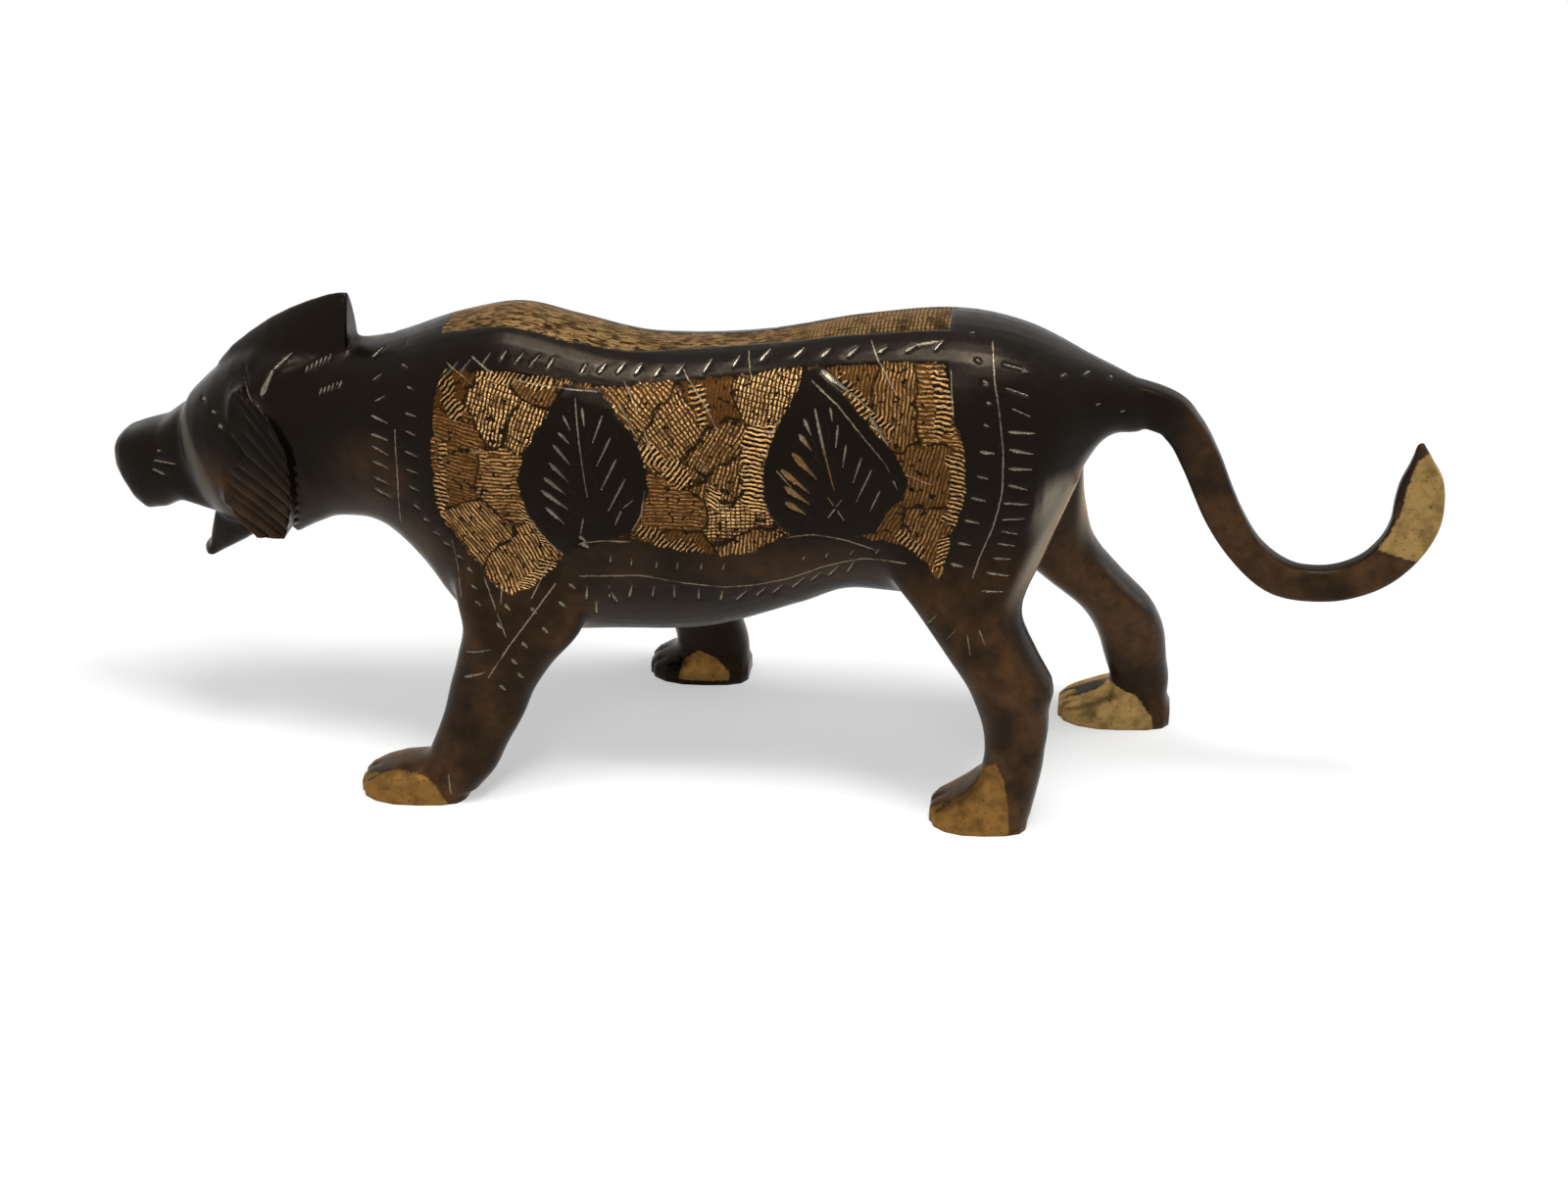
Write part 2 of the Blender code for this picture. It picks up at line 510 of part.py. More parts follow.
def side_strokes():
    """Every chiselled stroke of the flanks, neck, haunches and belly, as seen from the side."""
    front, rear = -WITHERS_FORWARD, CROUP_BACK
    top = SADDLE_TOP
    neck_outer = [(front - 27.0, top - 4.5), (front - 26.0, top - 11.0), (front - 26.4, top - 32.0)]
    neck_inner = [(front - 20.0, top - 3.5), (front - 19.0, top - 14.0), (front - 19.2, top - 34.0),
                  (front - 12.0, top - 41.0)]
    haunch_inner = [(rear + 5.5, top + 5.0), (rear + 8.3, top - 2.0), (rear + 8.0, top - 14.0),
                    (rear + 6.0, top - 27.0), (rear + 3.5, top - 35.5)]
    haunch_outer = [(rear + 13.2, top + 3.0), (rear + 14.8, top - 7.0), (rear + 15.0, top - 18.0),
                    (rear + 13.2, top - 31.0), (rear + 11.0, top - 41.0)]
    back = [(front - 8.0, top - 0.8), (front + 1.0, top + 0.6), (front + 16.0, top - 1.8),
            (front + 32.0, top - 2.3), (rear - 36.0, top + 0.8), (rear - 2.0, top + 6.2)]
    belly = [(front + 17.0, top - 50.0), (front + 31.0, top - 48.0), (front + 44.0, top - 49.4),
             (rear - 29.0, top - 46.0), (rear - 18.0, top - 40.5)]
    strokes = row_of_strokes(neck_outer, 9, NECK_DASH, -15)
    strokes += row_of_strokes(neck_inner, 12, NECK_DASH * 0.7, -15)
    strokes += row_of_strokes(haunch_inner, 10, NECK_DASH * 0.8, -8)
    strokes += row_of_strokes(haunch_outer, 12, HAUNCH_DASH, -12)
    strokes += row_of_strokes(back, 19, BACK_TICK, 50)
    strokes += row_of_strokes(belly, 14, BELLY_DASH, 75)
    return strokes


def carve(mesh):
    """Cut the ornament into both sides alike, then the fur of the ruffs, the eye punches and the toes."""
    points, edges = mesh_arrays(mesh)
    normals = vertex_normals(mesh)
    places = points[:, (0, 2)]
    outward = soft_step((np.sign(points[:, 1]) * normals[:, 1] - 0.2) / 0.25)
    front, rear = -WITHERS_FORWARD, CROUP_BACK
    foot = SADDLE_TOP - 37.0
    leaves = [(front + 17.6, foot, LEAF_HALF_WIDTH, 0.26),
              (rear - 21.4, foot + 5.0, LEAF_HALF_WIDTH + 0.8, 0.20)]
    field = inside_outline(places, flank_field())
    for middle, bottom, half_width, crown in leaves:
        leaf = inside_leaf(places, middle, bottom, LEAF_HEIGHT, half_width, crown)
        field = np.minimum(field, -leaf)
    depth = FIELD_DEPTH * soft_step(field / FIELD_EDGE + 0.5) * outward
    along_back = (points[:, 0] > front - 13.0) & (points[:, 0] < rear + 1.0) & (normals[:, 2] > 0.5)
    stripe = np.where(along_back, STRIPE_HALF_WIDTH - np.abs(points[:, 1]), -1.0)
    depth = np.maximum(depth, STRIPE_DEPTH * soft_step(stripe / FIELD_EDGE + 0.5))
    strokes = side_strokes()
    for middle, bottom, half_width, crown in leaves:
        strokes += leaf_veins(middle, bottom, 6, half_width * 0.66)
    on_trunk = np.abs(points[:, 0]) < NECK_START - 16.0
    for start, end in strokes:
        cut = soft_step(1.0 - distance_to(places, start, end) / STROKE_WIDTH)
        depth = np.maximum(depth, STROKE_DEPTH * cut * outward * on_trunk)
    back = -NOSE_FORWARD + CHEEK_LENGTH
    foot = SKULL_UNDER + 1.5
    fur = [((-16.0, 3.5), (-5.0, 0.0)), ((-14.5, 7.5), (-1.5, 0.5)), ((-13.0, 11.0), (1.0, 3.5)),
           ((-12.0, 15.0), (2.4, 7.0)), ((-11.0, 19.5), (3.6, 11.0)), ((-9.5, 24.5), (3.6, 15.5)),
           ((-7.5, 29.5), (2.6, 20.5)), ((-5.5, 34.0), (0.6, 26.0))]
    on_cheek = outward * (np.abs(points[:, 1]) > SKULL_WIDTH * 0.2) * (points[:, 0] < back + 5.6)
    for (x0, z0), (x1, z1) in fur:
        away = distance_to(places, (back + x0, foot + z0), (back + x1, foot + z1))
        cut = soft_step(1.0 - away / FUR_SPACING)
        depth = np.maximum(depth, FUR_GROOVE * cut * on_cheek)
    for x, z in ((-15.6, 30.4), (-12.9, 28.8), (-11.1, 26.3)):
        away = distance_to(places, (back + x - 0.5, foot + z), (back + x + 0.5, foot + z))
        depth = np.maximum(depth, STROKE_DEPTH * soft_step(1.4 - away / EYE_PUNCH) * outward)
    depth += toe_grooves(points)
    put_back(mesh, points - normals * depth[:, None])


def toe_grooves(points):
    """Three short grooves over the front of each paw, which part its four toes."""
    depth = np.zeros(len(points))
    for place, length, out in ((NEAR_FRONT_PAW, FRONT_PAW_LENGTH, -FRONT_STANCE),
                               (FAR_FRONT_PAW, FRONT_PAW_LENGTH, FRONT_STANCE),
                               (NEAR_HIND_PAW, NEAR_HIND_PAW_LENGTH, -HIND_STANCE),
                               (FAR_HIND_PAW, FAR_HIND_PAW_LENGTH, HIND_STANCE)):
        on_toes = soft_step((place - 0.12 * length - points[:, 0]) / 3.0) * (points[:, 2] < PAW_HEIGHT * 2.0)
        on_toes = on_toes * (points[:, 0] > place - 0.7 * length) * (np.abs(points[:, 1] - out) < PAW_WIDTH)
        for offset in (-0.25, 0.0, 0.25):
            across = np.abs(points[:, 1] - out - offset * PAW_WIDTH)
            depth = np.maximum(depth, TOE_GROOVE * soft_step(1.0 - across / 1.3) * on_toes)
    return depth


def evaluated(thing, modifier_type, **settings):
    """Apply one modifier and return the mesh it makes."""
    modifier = thing.modifiers.new(modifier_type.title(), modifier_type)
    for name, value in settings.items():
        setattr(modifier, name, value)
    depsgraph = bpy.context.evaluated_depsgraph_get()
    made = bpy.data.meshes.new_from_object(thing.evaluated_get(depsgraph))
    thing.modifiers.remove(modifier)
    thing.data = made
    return made


def cut_soles(mesh):
    """Cut the paws flat where the figurine stands."""
    shape = bmesh.new()
    shape.from_mesh(mesh)
    everything = shape.verts[:] + shape.edges[:] + shape.faces[:]
    cut = bmesh.ops.bisect_plane(shape, geom=everything, plane_co=(0, 0, 0), plane_no=(0, 0, 1),
                                 dist=1e-6, clear_inner=True)
    rims = [piece for piece in cut["geom_cut"] if isinstance(piece, bmesh.types.BMEdge)]
    bmesh.ops.holes_fill(shape, edges=rims, sides=0)
    bmesh.ops.triangulate(shape, faces=shape.faces[:])
    bmesh.ops.recalc_face_normals(shape, faces=shape.faces[:])
    shape.to_mesh(mesh)
    shape.free()


def centre_on_floor(mesh):
    """Put the origin under the middle of the figurine, at the floor."""
    points, edges = mesh_arrays(mesh)
    low, high = points.min(axis=0), points.max(axis=0)
    points -= ((low[0] + high[0]) / 2, (low[1] + high[1]) / 2, low[2])
    put_back(mesh, points)


def lacquered_brass():
    finish = bpy.data.materials.new("Dark lacquer over cast brass")
    finish.use_nodes = True
    shader = finish.node_tree.nodes["Principled BSDF"]
    shader.inputs["Base Color"].default_value = (0.045, 0.032, 0.022, 1.0)
    shader.inputs["Metallic"].default_value = 0.6
    shader.inputs["Roughness"].default_value = 0.35
    return finish


def make_leopard():
    clay = Clay()
    model_trunk(clay)
    model_head(clay)
    model_crest(clay)
    model_ruffs(clay)
    model_legs(clay)
    model_tail(clay)
    mesh = bpy.data.meshes.new("leopard")
    mesh.from_pydata([Vector(p) * MILLIMETRE for p in clay.points], [], clay.faces)
    leopard = bpy.data.objects.new("leopard", mesh)
    bpy.context.scene.collection.objects.link(leopard)
    fused = evaluated(leopard, "REMESH", mode="VOXEL", voxel_size=VOXEL * MILLIMETRE)
    smooth_casting(fused)
    carve(fused)
    triangles = sum(len(face.vertices) - 2 for face in fused.polygons)
    casting = evaluated(leopard, "DECIMATE", ratio=CASTING_TRIANGLES / triangles)
    cut_soles(casting)
    centre_on_floor(casting)
    casting.materials.append(lacquered_brass())
    casting.shade_smooth()
    leopard.name = "leopard"
    return leopard


clear_scene()
make_leopard()
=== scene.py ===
# %% [markdown]
# # A walking leopard in lacquered brass
#
# The object is a figurine cast in brass, dipped or painted in dark lacquer, and then cut by hand:
# a graver goes through the lacquer and leaves bright metal. This lesson rebuilds it in the order
# in which the real one is made: the casting, the carving, the lacquer and the cut brass.
# The first cell loads the solid that everything has to fit, and keeps its box.

# %% Load the frame
import bpy
import bmesh
import numpy as np
from mathutils import Matrix, Vector


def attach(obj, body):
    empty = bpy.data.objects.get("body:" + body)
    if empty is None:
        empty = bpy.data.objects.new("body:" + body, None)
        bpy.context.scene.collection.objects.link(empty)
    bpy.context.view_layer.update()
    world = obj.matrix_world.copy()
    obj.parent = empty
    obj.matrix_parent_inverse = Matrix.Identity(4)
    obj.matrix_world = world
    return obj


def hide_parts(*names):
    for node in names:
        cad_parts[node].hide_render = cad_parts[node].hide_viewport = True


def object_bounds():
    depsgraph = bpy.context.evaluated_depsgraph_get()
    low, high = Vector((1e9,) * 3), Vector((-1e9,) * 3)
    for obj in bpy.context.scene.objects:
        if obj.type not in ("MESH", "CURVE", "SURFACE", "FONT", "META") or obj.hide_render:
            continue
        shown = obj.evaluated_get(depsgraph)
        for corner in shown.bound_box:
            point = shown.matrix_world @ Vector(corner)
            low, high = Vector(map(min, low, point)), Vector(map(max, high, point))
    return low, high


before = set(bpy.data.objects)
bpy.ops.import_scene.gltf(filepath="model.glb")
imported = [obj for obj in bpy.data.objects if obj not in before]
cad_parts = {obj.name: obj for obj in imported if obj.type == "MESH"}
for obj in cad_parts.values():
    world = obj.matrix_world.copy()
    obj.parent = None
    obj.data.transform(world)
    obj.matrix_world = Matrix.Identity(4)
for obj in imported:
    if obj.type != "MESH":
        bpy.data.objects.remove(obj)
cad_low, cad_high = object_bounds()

print("solid to fit, in mm:", [round((b - a) * 1000, 1) for a, b in zip(cad_low, cad_high)])

# %% [markdown]
# The camera comes first, because every later choice is judged through it. A camera matrix has the
# picture's right, its up and the direction back to the eye as its three columns. This one looks
# 30 degrees down and stands 8 degrees round towards the tail.

# %% Set the camera
MILLIMETRE = 0.001
AIM = (7.05, -10.27, 45.0)
DISTANCE = 493.07
AZIMUTH = np.radians(8.0)
ELEVATION = np.radians(30.0)
LENS = 54.0

level = np.cos(ELEVATION)
to_eye = np.array([np.sin(AZIMUTH) * level, -np.cos(AZIMUTH) * level, np.sin(ELEVATION)])
right = np.array([np.cos(AZIMUTH), np.sin(AZIMUTH), 0.0])
up = np.cross(to_eye, right)
eye = (np.array(AIM) + DISTANCE * to_eye) * MILLIMETRE
camera = bpy.data.objects.new("camera", bpy.data.cameras.new("camera"))
camera.data.lens = LENS
camera.data.clip_start = 0.01
camera.matrix_world = Matrix([[right[k], up[k], to_eye[k], eye[k]] for k in range(3)] + [[0, 0, 0, 1]])
bpy.context.scene.collection.objects.link(camera)
bpy.context.scene.camera = camera
bpy.context.scene.view_settings.view_transform = "Standard"
print("camera at, in mm:", np.round(eye / MILLIMETRE, 1))

# %% [markdown]
# The sizes of the casting, in millimetres, are the ones that the solid was made with. The head looks
# towards -X, the near side is -Y, and the feet stand on z = 0.

# %% Sizes of the casting
NECK_START, WITHERS_FORWARD, CROUP_BACK, RUMP_BACK, TAIL_ROOT_BACK = 100.0, 50.0, 40.0, 68.0, 78.0
NECK_TOP, THROAT, WITHERS_TOP, SADDLE_TOP, CROUP_TOP = 91.5, 51.2, 101.2, 96.0, 104.7
TAIL_ROOT_TOP, TAIL_ROOT_UNDER = 92.2, 82.4
CHEST_UNDER, BELLY_UNDER, FLANK_UNDER, RUMP_UNDER = 28.5, 32.6, 44.0, 72.0
NECK_WIDTH, CHEST_WIDTH, WAIST_WIDTH, HAUNCH_WIDTH = 26.0, 43.5, 39.5, 43.0
RUMP_WIDTH, TAIL_ROOT_WIDTH = 20.0, 8.5
NOSE_FORWARD, MUZZLE_LENGTH, MUZZLE_WIDTH, MUZZLE_TOP, MUZZLE_UNDER = 140.0, 16.0, 16.0, 70.6, 50.0
BROW_TOP, SKULL_TOP, SKULL_UNDER, SKULL_WIDTH = 80.0, 94.5, 48.5, 29.0
JAW_LENGTH, JAW_DROP, JAW_WIDTH = 11.0, 10.0, 9.0
CREST_TOP, CREST_BACK, CREST_THICKNESS = 102.5, 85.0, 5.0
CHEEK_LENGTH, RUFF_STANDS_OUT = 40.0, 2.6
FRONT_STANCE, HIND_STANCE = 28.0, 22.4
NEAR_FRONT_PAW, FAR_FRONT_PAW, NEAR_HIND_PAW, FAR_HIND_PAW = -70.5, -17.8, 50.4, 78.0
FRONT_PAW_LENGTH, NEAR_HIND_PAW_LENGTH, FAR_HIND_PAW_LENGTH = 23.0, 20.6, 25.0
PAW_WIDTH, PAW_HEIGHT = 15.5, 6.4
TAIL_DEPTH, TAIL_THICKNESS, TAIL_REACH, TAIL_DROP, TIP_WIDTH = 7.6, 4.6, 56.0, 37.7, 10.0

# %% [markdown]
# A cast animal is a set of soft volumes that run into each other. Each volume here is a loft: a stack
# of closed rings, joined side by side. A ring is a superellipse, which goes from an ellipse (power 2)
# towards a rounded square, because a cast and filed body is a little boxy.

# %% Helpers for lofts
RING_POINTS = 56


def curve_through(points, places):
    """Read a smooth line through a few given points, each (place, value), at the given places."""
    points = np.array(points, float)
    x, y = points[:, 0], points[:, 1]
    slopes = np.gradient(y, x)
    steps = np.diff(y) / np.diff(x)
    for i in range(1, len(x) - 1):
        if steps[i - 1] * steps[i] <= 0:
            slopes[i] = 0.0
    i = np.clip(np.searchsorted(x, places) - 1, 0, len(x) - 2)
    width = x[i + 1] - x[i]
    t = np.clip((places - x[i]) / width, 0.0, 1.0)
    blend = t * t * (3 - 2 * t)
    rise = t * (1 - t) ** 2 * slopes[i] - t * t * (1 - t) * slopes[i + 1]
    return y[i] * (1 - blend) + y[i + 1] * blend + width * rise


def part_way(start, end, share):
    """A place between two others: share 0 is the start and 1 is the end."""
    return start + (end - start) * share


def superellipse(power):
    """One turn of a rounded square: 2 is an ellipse, and a larger power is squarer."""
    turn = np.linspace(0.0, 2 * np.pi, RING_POINTS, endpoint=False)
    across = np.sign(np.cos(turn)) * np.abs(np.cos(turn)) ** (2 / power)
    along = np.sign(np.sin(turn)) * np.abs(np.sin(turn)) ** (2 / power)
    return across, along


clay_points = []
clay_faces = []


def loft(rings):
    """Join closed rings of points, one after another, and close both ends."""
    first = len(clay_points)
    count = len(rings[0])
    for ring in rings:
        clay_points.extend(tuple(p) for p in ring)
    for r in range(len(rings) - 1):
        low = first + r * count
        for i in range(count):
            j = (i + 1) % count
            clay_faces.append((low + i, low + j, low + count + j, low + count + i))
    last = first + (len(rings) - 1) * count
    clay_faces.append(tuple(range(first + count - 1, first - 1, -1)))
    clay_faces.append(tuple(range(last, last + count)))


def upright_sections(stations, power, out=0.0):
    """Sections across the body, each (x, half width, top, bottom, height of the widest part)."""
    across, along = superellipse(power)
    rings = []
    for x, half_width, top, bottom, widest in stations:
        height = np.where(along > 0, (top - widest) * along, (widest - bottom) * along)
        rings.append([(x, out + half_width * a, widest + h) for a, h in zip(across, height)])
    loft(rings)


def level_sections(stations, power):
    """Sections of a leg, each (z, x, y, half depth along x, half width along y)."""
    across, along = superellipse(power)
    loft([[(x + depth * a, y + width * b, z) for a, b in zip(across, along)]
          for z, x, y, depth, width in stations])


# %% [markdown]
# The trunk is one loft from the neck to the root of the tail. Its back line, belly line and width are
# three curves through given points. The body has four stretches (neck, barrel, loin and rump), and
# each point is (stretch, share of the way along it, value), so it keeps its place when a size changes.

# %% Model the trunk
neck, withers, croup, rump, root = -NECK_START, -WITHERS_FORWARD, CROUP_BACK, RUMP_BACK, TAIL_ROOT_BACK
body_places = (neck, withers, croup, rump, root)


def body_line(*stations):
    return [(part_way(body_places[stretch], body_places[stretch + 1], share), value)
            for stretch, share, value in stations]


back_line = body_line(
    (0, 0.0, NECK_TOP - 1.0), (0, 0.40, NECK_TOP + 0.6), (0, 0.76, WITHERS_TOP - 2.5), (1, 0.0, WITHERS_TOP),
    (1, 0.13, WITHERS_TOP - 2.3), (1, 0.31, SADDLE_TOP), (1, 0.56, SADDLE_TOP + 1.9),
    (1, 0.80, CROUP_TOP - 2.1), (2, 0.0, CROUP_TOP), (2, 0.46, CROUP_TOP - 1.7),
    (3, 0.0, TAIL_ROOT_TOP + 4.5), (3, 1.0, TAIL_ROOT_TOP + 0.4))
belly_line = body_line(
    (0, 0.0, THROAT - 4.2), (0, 0.09, THROAT - 1.6), (0, 0.23, THROAT + 1.0), (0, 0.40, THROAT + 0.4),
    (0, 0.60, THROAT - 9.0), (0, 0.72, CHEST_UNDER + 4.6), (0, 0.86, CHEST_UNDER + 0.6),
    (1, 0.0, CHEST_UNDER), (1, 0.24, CHEST_UNDER + 1.9), (1, 0.47, BELLY_UNDER),
    (1, 0.67, BELLY_UNDER + 6.9), (1, 0.80, FLANK_UNDER + 0.2), (2, 0.07, FLANK_UNDER),
    (2, 0.54, FLANK_UNDER + 3.5), (2, 0.75, RUMP_UNDER - 14.0), (2, 0.93, RUMP_UNDER),
    (3, 0.25, RUMP_UNDER + 8.5), (3, 1.0, TAIL_ROOT_UNDER))
half_widths = body_line(
    (0, 0.0, NECK_WIDTH / 2 - 1.0), (0, 0.24, NECK_WIDTH / 2 + 0.2), (0, 0.60, NECK_WIDTH / 2 + 4.2),
    (0, 0.82, CHEST_WIDTH / 2 - 1.6), (1, 0.11, CHEST_WIDTH / 2), (1, 0.24, CHEST_WIDTH / 2),
    (1, 0.60, WAIST_WIDTH / 2), (1, 0.78, WAIST_WIDTH / 2), (2, 0.0, HAUNCH_WIDTH / 2),
    (2, 0.39, HAUNCH_WIDTH / 2 - 1.0), (2, 0.75, RUMP_WIDTH / 2 + 6.5), (3, 0.0, RUMP_WIDTH / 2),
    (3, 1.0, TAIL_ROOT_WIDTH / 2))
places = np.linspace(neck, root, 90)
tops, bottoms = curve_through(back_line, places), curve_through(belly_line, places)
upright_sections(zip(places, curve_through(half_widths, places), tops, bottoms,
                     bottoms + (tops - bottoms) * 0.48), 2.35)
print("trunk:", len(clay_points), "points")

# %% [markdown]
# The head is a blocky muzzle in front of a deeper skull, with a small pointed jaw that hangs open.
# The ears are laid back and meet in one fin, and the skull runs back under it to a slanting edge
# over the neck.

# %% Model the head
nose = -NOSE_FORWARD
brow = nose + MUZZLE_LENGTH
half = MUZZLE_WIDTH / 2
middle = (MUZZLE_TOP + MUZZLE_UNDER) / 2
upright_sections([
    (nose, half * 0.36, MUZZLE_TOP - 5.6, MUZZLE_UNDER + 12.4, middle + 3.0),
    (nose + 0.9, half * 0.62, MUZZLE_TOP - 3.8, MUZZLE_UNDER + 9.4, middle + 2.0),
    (nose + 2.4, half * 0.80, MUZZLE_TOP - 2.6, MUZZLE_UNDER + 6.6, middle + 1.0),
    (nose + 4.4, half * 0.90, MUZZLE_TOP - 1.8, MUZZLE_UNDER + 2.4, middle),
    (nose + 6.6, half * 0.96, MUZZLE_TOP - 1.0, MUZZLE_UNDER + 0.4, middle),
    (nose + 11.0, half, MUZZLE_TOP + 0.4, MUZZLE_UNDER + 1.3, middle),
    (brow - 1.0, half + 0.5, MUZZLE_TOP + 3.4, MUZZLE_UNDER + 3.6, middle),
    (brow + 8.0, half + 1.0, BROW_TOP, MUZZLE_UNDER + 0.8, middle)], 2.9)
skull = (SKULL_TOP + SKULL_UNDER) / 2
wide = SKULL_WIDTH / 2
upright_sections([
    (brow + 0.9, wide * 0.42, BROW_TOP - 4.5, MUZZLE_UNDER + 9.0, skull - 2.0),
    (brow + 2.6, wide * 0.66, BROW_TOP - 1.6, MUZZLE_UNDER + 4.6, skull - 2.0),
    (brow + 6.0, wide * 0.80, BROW_TOP + 1.7, MUZZLE_UNDER + 1.0, skull - 2.0),
    (brow + 9.5, wide * 0.89, BROW_TOP + 4.9, SKULL_UNDER + 0.6, skull - 2.0),
    (brow + 14.0, wide * 0.96, BROW_TOP + 8.5, SKULL_UNDER, skull - 1.5),
    (brow + 19.0, wide, SKULL_TOP - 3.2, SKULL_UNDER, skull - 1.0),
    (brow + 24.5, wide * 0.97, SKULL_TOP - 2.4, SKULL_UNDER + 0.2, skull),
    (brow + 28.5, wide * 0.88, SKULL_TOP - 3.6, SKULL_UNDER + 3.0, skull + 1.0),
    (brow + 31.0, wide * 0.70, SKULL_TOP - 6.5, SKULL_UNDER + 6.5, skull + 1.5)], 2.3)
hinge = brow + 5.0
lip = MUZZLE_UNDER - JAW_DROP
half = JAW_WIDTH / 2
upright_sections([
    (hinge - 0.36 * JAW_LENGTH, half * 0.35, lip + 1.4, lip - 0.6, lip + 0.4),
    (hinge - 0.28 * JAW_LENGTH, half * 0.70, lip + 2.2, lip - 0.9, lip + 0.4),
    (hinge - 0.18 * JAW_LENGTH, half * 0.90, lip + 2.8, lip - 0.8, lip + 0.8),
    (hinge - 0.12 * JAW_LENGTH, half * 0.90, lip + 7.0, lip - 0.6, lip + 1.4),
    (hinge, half, MUZZLE_UNDER + 1.5, lip + 0.2, lip + 3.5),
    (hinge + 0.24 * JAW_LENGTH, half * 1.20, MUZZLE_UNDER + 3.0, lip + 1.8, lip + 6.0),
    (hinge + 0.60 * JAW_LENGTH, half * 1.40, MUZZLE_UNDER + 5.0, lip + 4.2, lip + 9.0),
    (hinge + 1.30 * JAW_LENGTH, half * 1.45, MUZZLE_UNDER + 8.0, lip + 9.5, lip + 13.0)], 2.6)
back = -CREST_BACK
upright_sections([
    (back - 24.0, wide * 0.94, SKULL_TOP - 7.0, SKULL_TOP - 30.0, SKULL_TOP - 16.0),
    (back - 17.0, wide * 0.90, SKULL_TOP - 3.5, SKULL_TOP - 24.0, SKULL_TOP - 13.0),
    (back - 12.5, wide * 0.78, SKULL_TOP - 2.5, SKULL_TOP - 18.0, SKULL_TOP - 10.0),
    (back - 8.0, wide * 0.60, SKULL_TOP - 2.4, SKULL_TOP - 13.0, SKULL_TOP - 7.5),
    (back - 4.0, wide * 0.44, SKULL_TOP - 2.6, SKULL_TOP - 9.5, SKULL_TOP - 5.6),
    (back - 0.8, wide * 0.30, SKULL_TOP - 3.2, SKULL_TOP - 7.5, SKULL_TOP - 5.0)], 2.2)
half = CREST_THICKNESS / 2
upright_sections([
    (back - 30.0, 1.6 * half, CREST_TOP - 17.4, SKULL_TOP - 24.0, SKULL_TOP - 18.0),
    (back - 26.5, 2.6 * half, CREST_TOP - 13.4, SKULL_TOP - 24.0, SKULL_TOP - 17.0),
    (back - 22.0, 3.2 * half, CREST_TOP - 9.8, SKULL_TOP - 23.0, SKULL_TOP - 16.0),
    (back - 17.6, 3.5 * half, CREST_TOP - 6.7, SKULL_TOP - 22.0, SKULL_TOP - 14.5),
    (back - 13.1, 3.5 * half, CREST_TOP - 4.2, SKULL_TOP - 20.0, SKULL_TOP - 13.0),
    (back - 8.6, 3.1 * half, CREST_TOP - 2.2, SKULL_TOP - 17.0, SKULL_TOP - 11.0),
    (back - 4.3, 2.5 * half, CREST_TOP - 0.6, SKULL_TOP - 13.0, SKULL_TOP - 8.0),
    (back - 2.0, 2.1 * half, CREST_TOP - 0.1, SKULL_TOP - 10.0, SKULL_TOP - 6.0),
    (back - 0.2, 1.7 * half, CREST_TOP, SKULL_TOP - 8.0, SKULL_TOP - 5.0)], 1.55)
print("with the head:", len(clay_points), "points")

# %% [markdown]
# On each cheek stands a fan of fur. It is a flat slab with a shaped outline, level with the cheek in
# front and proud of it behind. Each outline point is (x, height, how far it stands out).

# %% Model the ruffs
cheek_back = -NOSE_FORWARD + CHEEK_LENGTH
ruff_foot = SKULL_UNDER + 1.5
ruff_outline = [
    (-5.6, 35.8, 0.1), (-2.3, 32.7, 0.5), (0.9, 29.3, 0.8), (3.7, 23.1, 1.0), (4.1, 18.6, 1.0),
    (3.7, 12.0, 1.0), (3.0, 7.7, 1.0), (1.0, 2.0, 0.9), (-5.2, 1.4, 0.6), (-9.8, 5.6, 0.1),
    (-12.5, 9.0, -0.3), (-12.4, 16.0, -0.5), (-10.4, 26.0, -0.4), (-8.0, 34.0, -0.2)]
for side in (-1, 1):
    outer = [(cheek_back + x, side * (wide + RUFF_STANDS_OUT * out - abs(z - 15.0) * 0.05), ruff_foot + z)
             for x, z, out in ruff_outline]
    loft([[(x, side * wide * 0.4, z) for x, y, z in outer], outer])

# %% [markdown]
# A leg is a stack of level rings from deep inside the trunk to the ankle, and a paw is a flat loft
# that reaches below the floor, where the sole is cut later. Both near legs lead and both far legs
# trail. Each leg station is (z, x, half depth, share of the stance, half width).

# %% Model the legs and the paws
shoulder, hip = -WITHERS_FORWARD, CROUP_BACK
near_front = [
    (60.0, shoulder + 5.0, 16.0, 0.42, 7.0), (46.0, shoulder + 2.5, 15.0, 0.56, 8.0),
    (38.0, shoulder + 2.6, 13.0, 0.66, 8.2), (30.5, shoulder - 0.8, 10.3, 0.76, 7.2),
    (24.5, NEAR_FRONT_PAW + 17.0, 9.1, 0.83, 6.4), (19.0, NEAR_FRONT_PAW + 15.3, 8.6, 0.89, 6.0),
    (12.0, NEAR_FRONT_PAW + 12.2, 8.0, 0.95, 5.8), (7.0, NEAR_FRONT_PAW + 10.0, 7.9, 0.99, 5.8),
    (2.0, NEAR_FRONT_PAW + 7.0, 7.0, 1.0, 5.8)]
far_front = [
    (60.0, shoulder + 8.0, 16.0, 0.42, 7.0), (46.0, shoulder + 14.0, 14.0, 0.55, 8.0),
    (36.0, shoulder + 21.5, 11.5, 0.70, 7.6), (26.0, shoulder + 28.5, 9.4, 0.84, 6.6),
    (14.5, FAR_FRONT_PAW + 1.8, 8.2, 0.95, 6.0), (6.0, FAR_FRONT_PAW + 3.0, 8.3, 1.0, 6.0),
    (2.0, FAR_FRONT_PAW + 3.0, 7.8, 1.0, 5.8)]
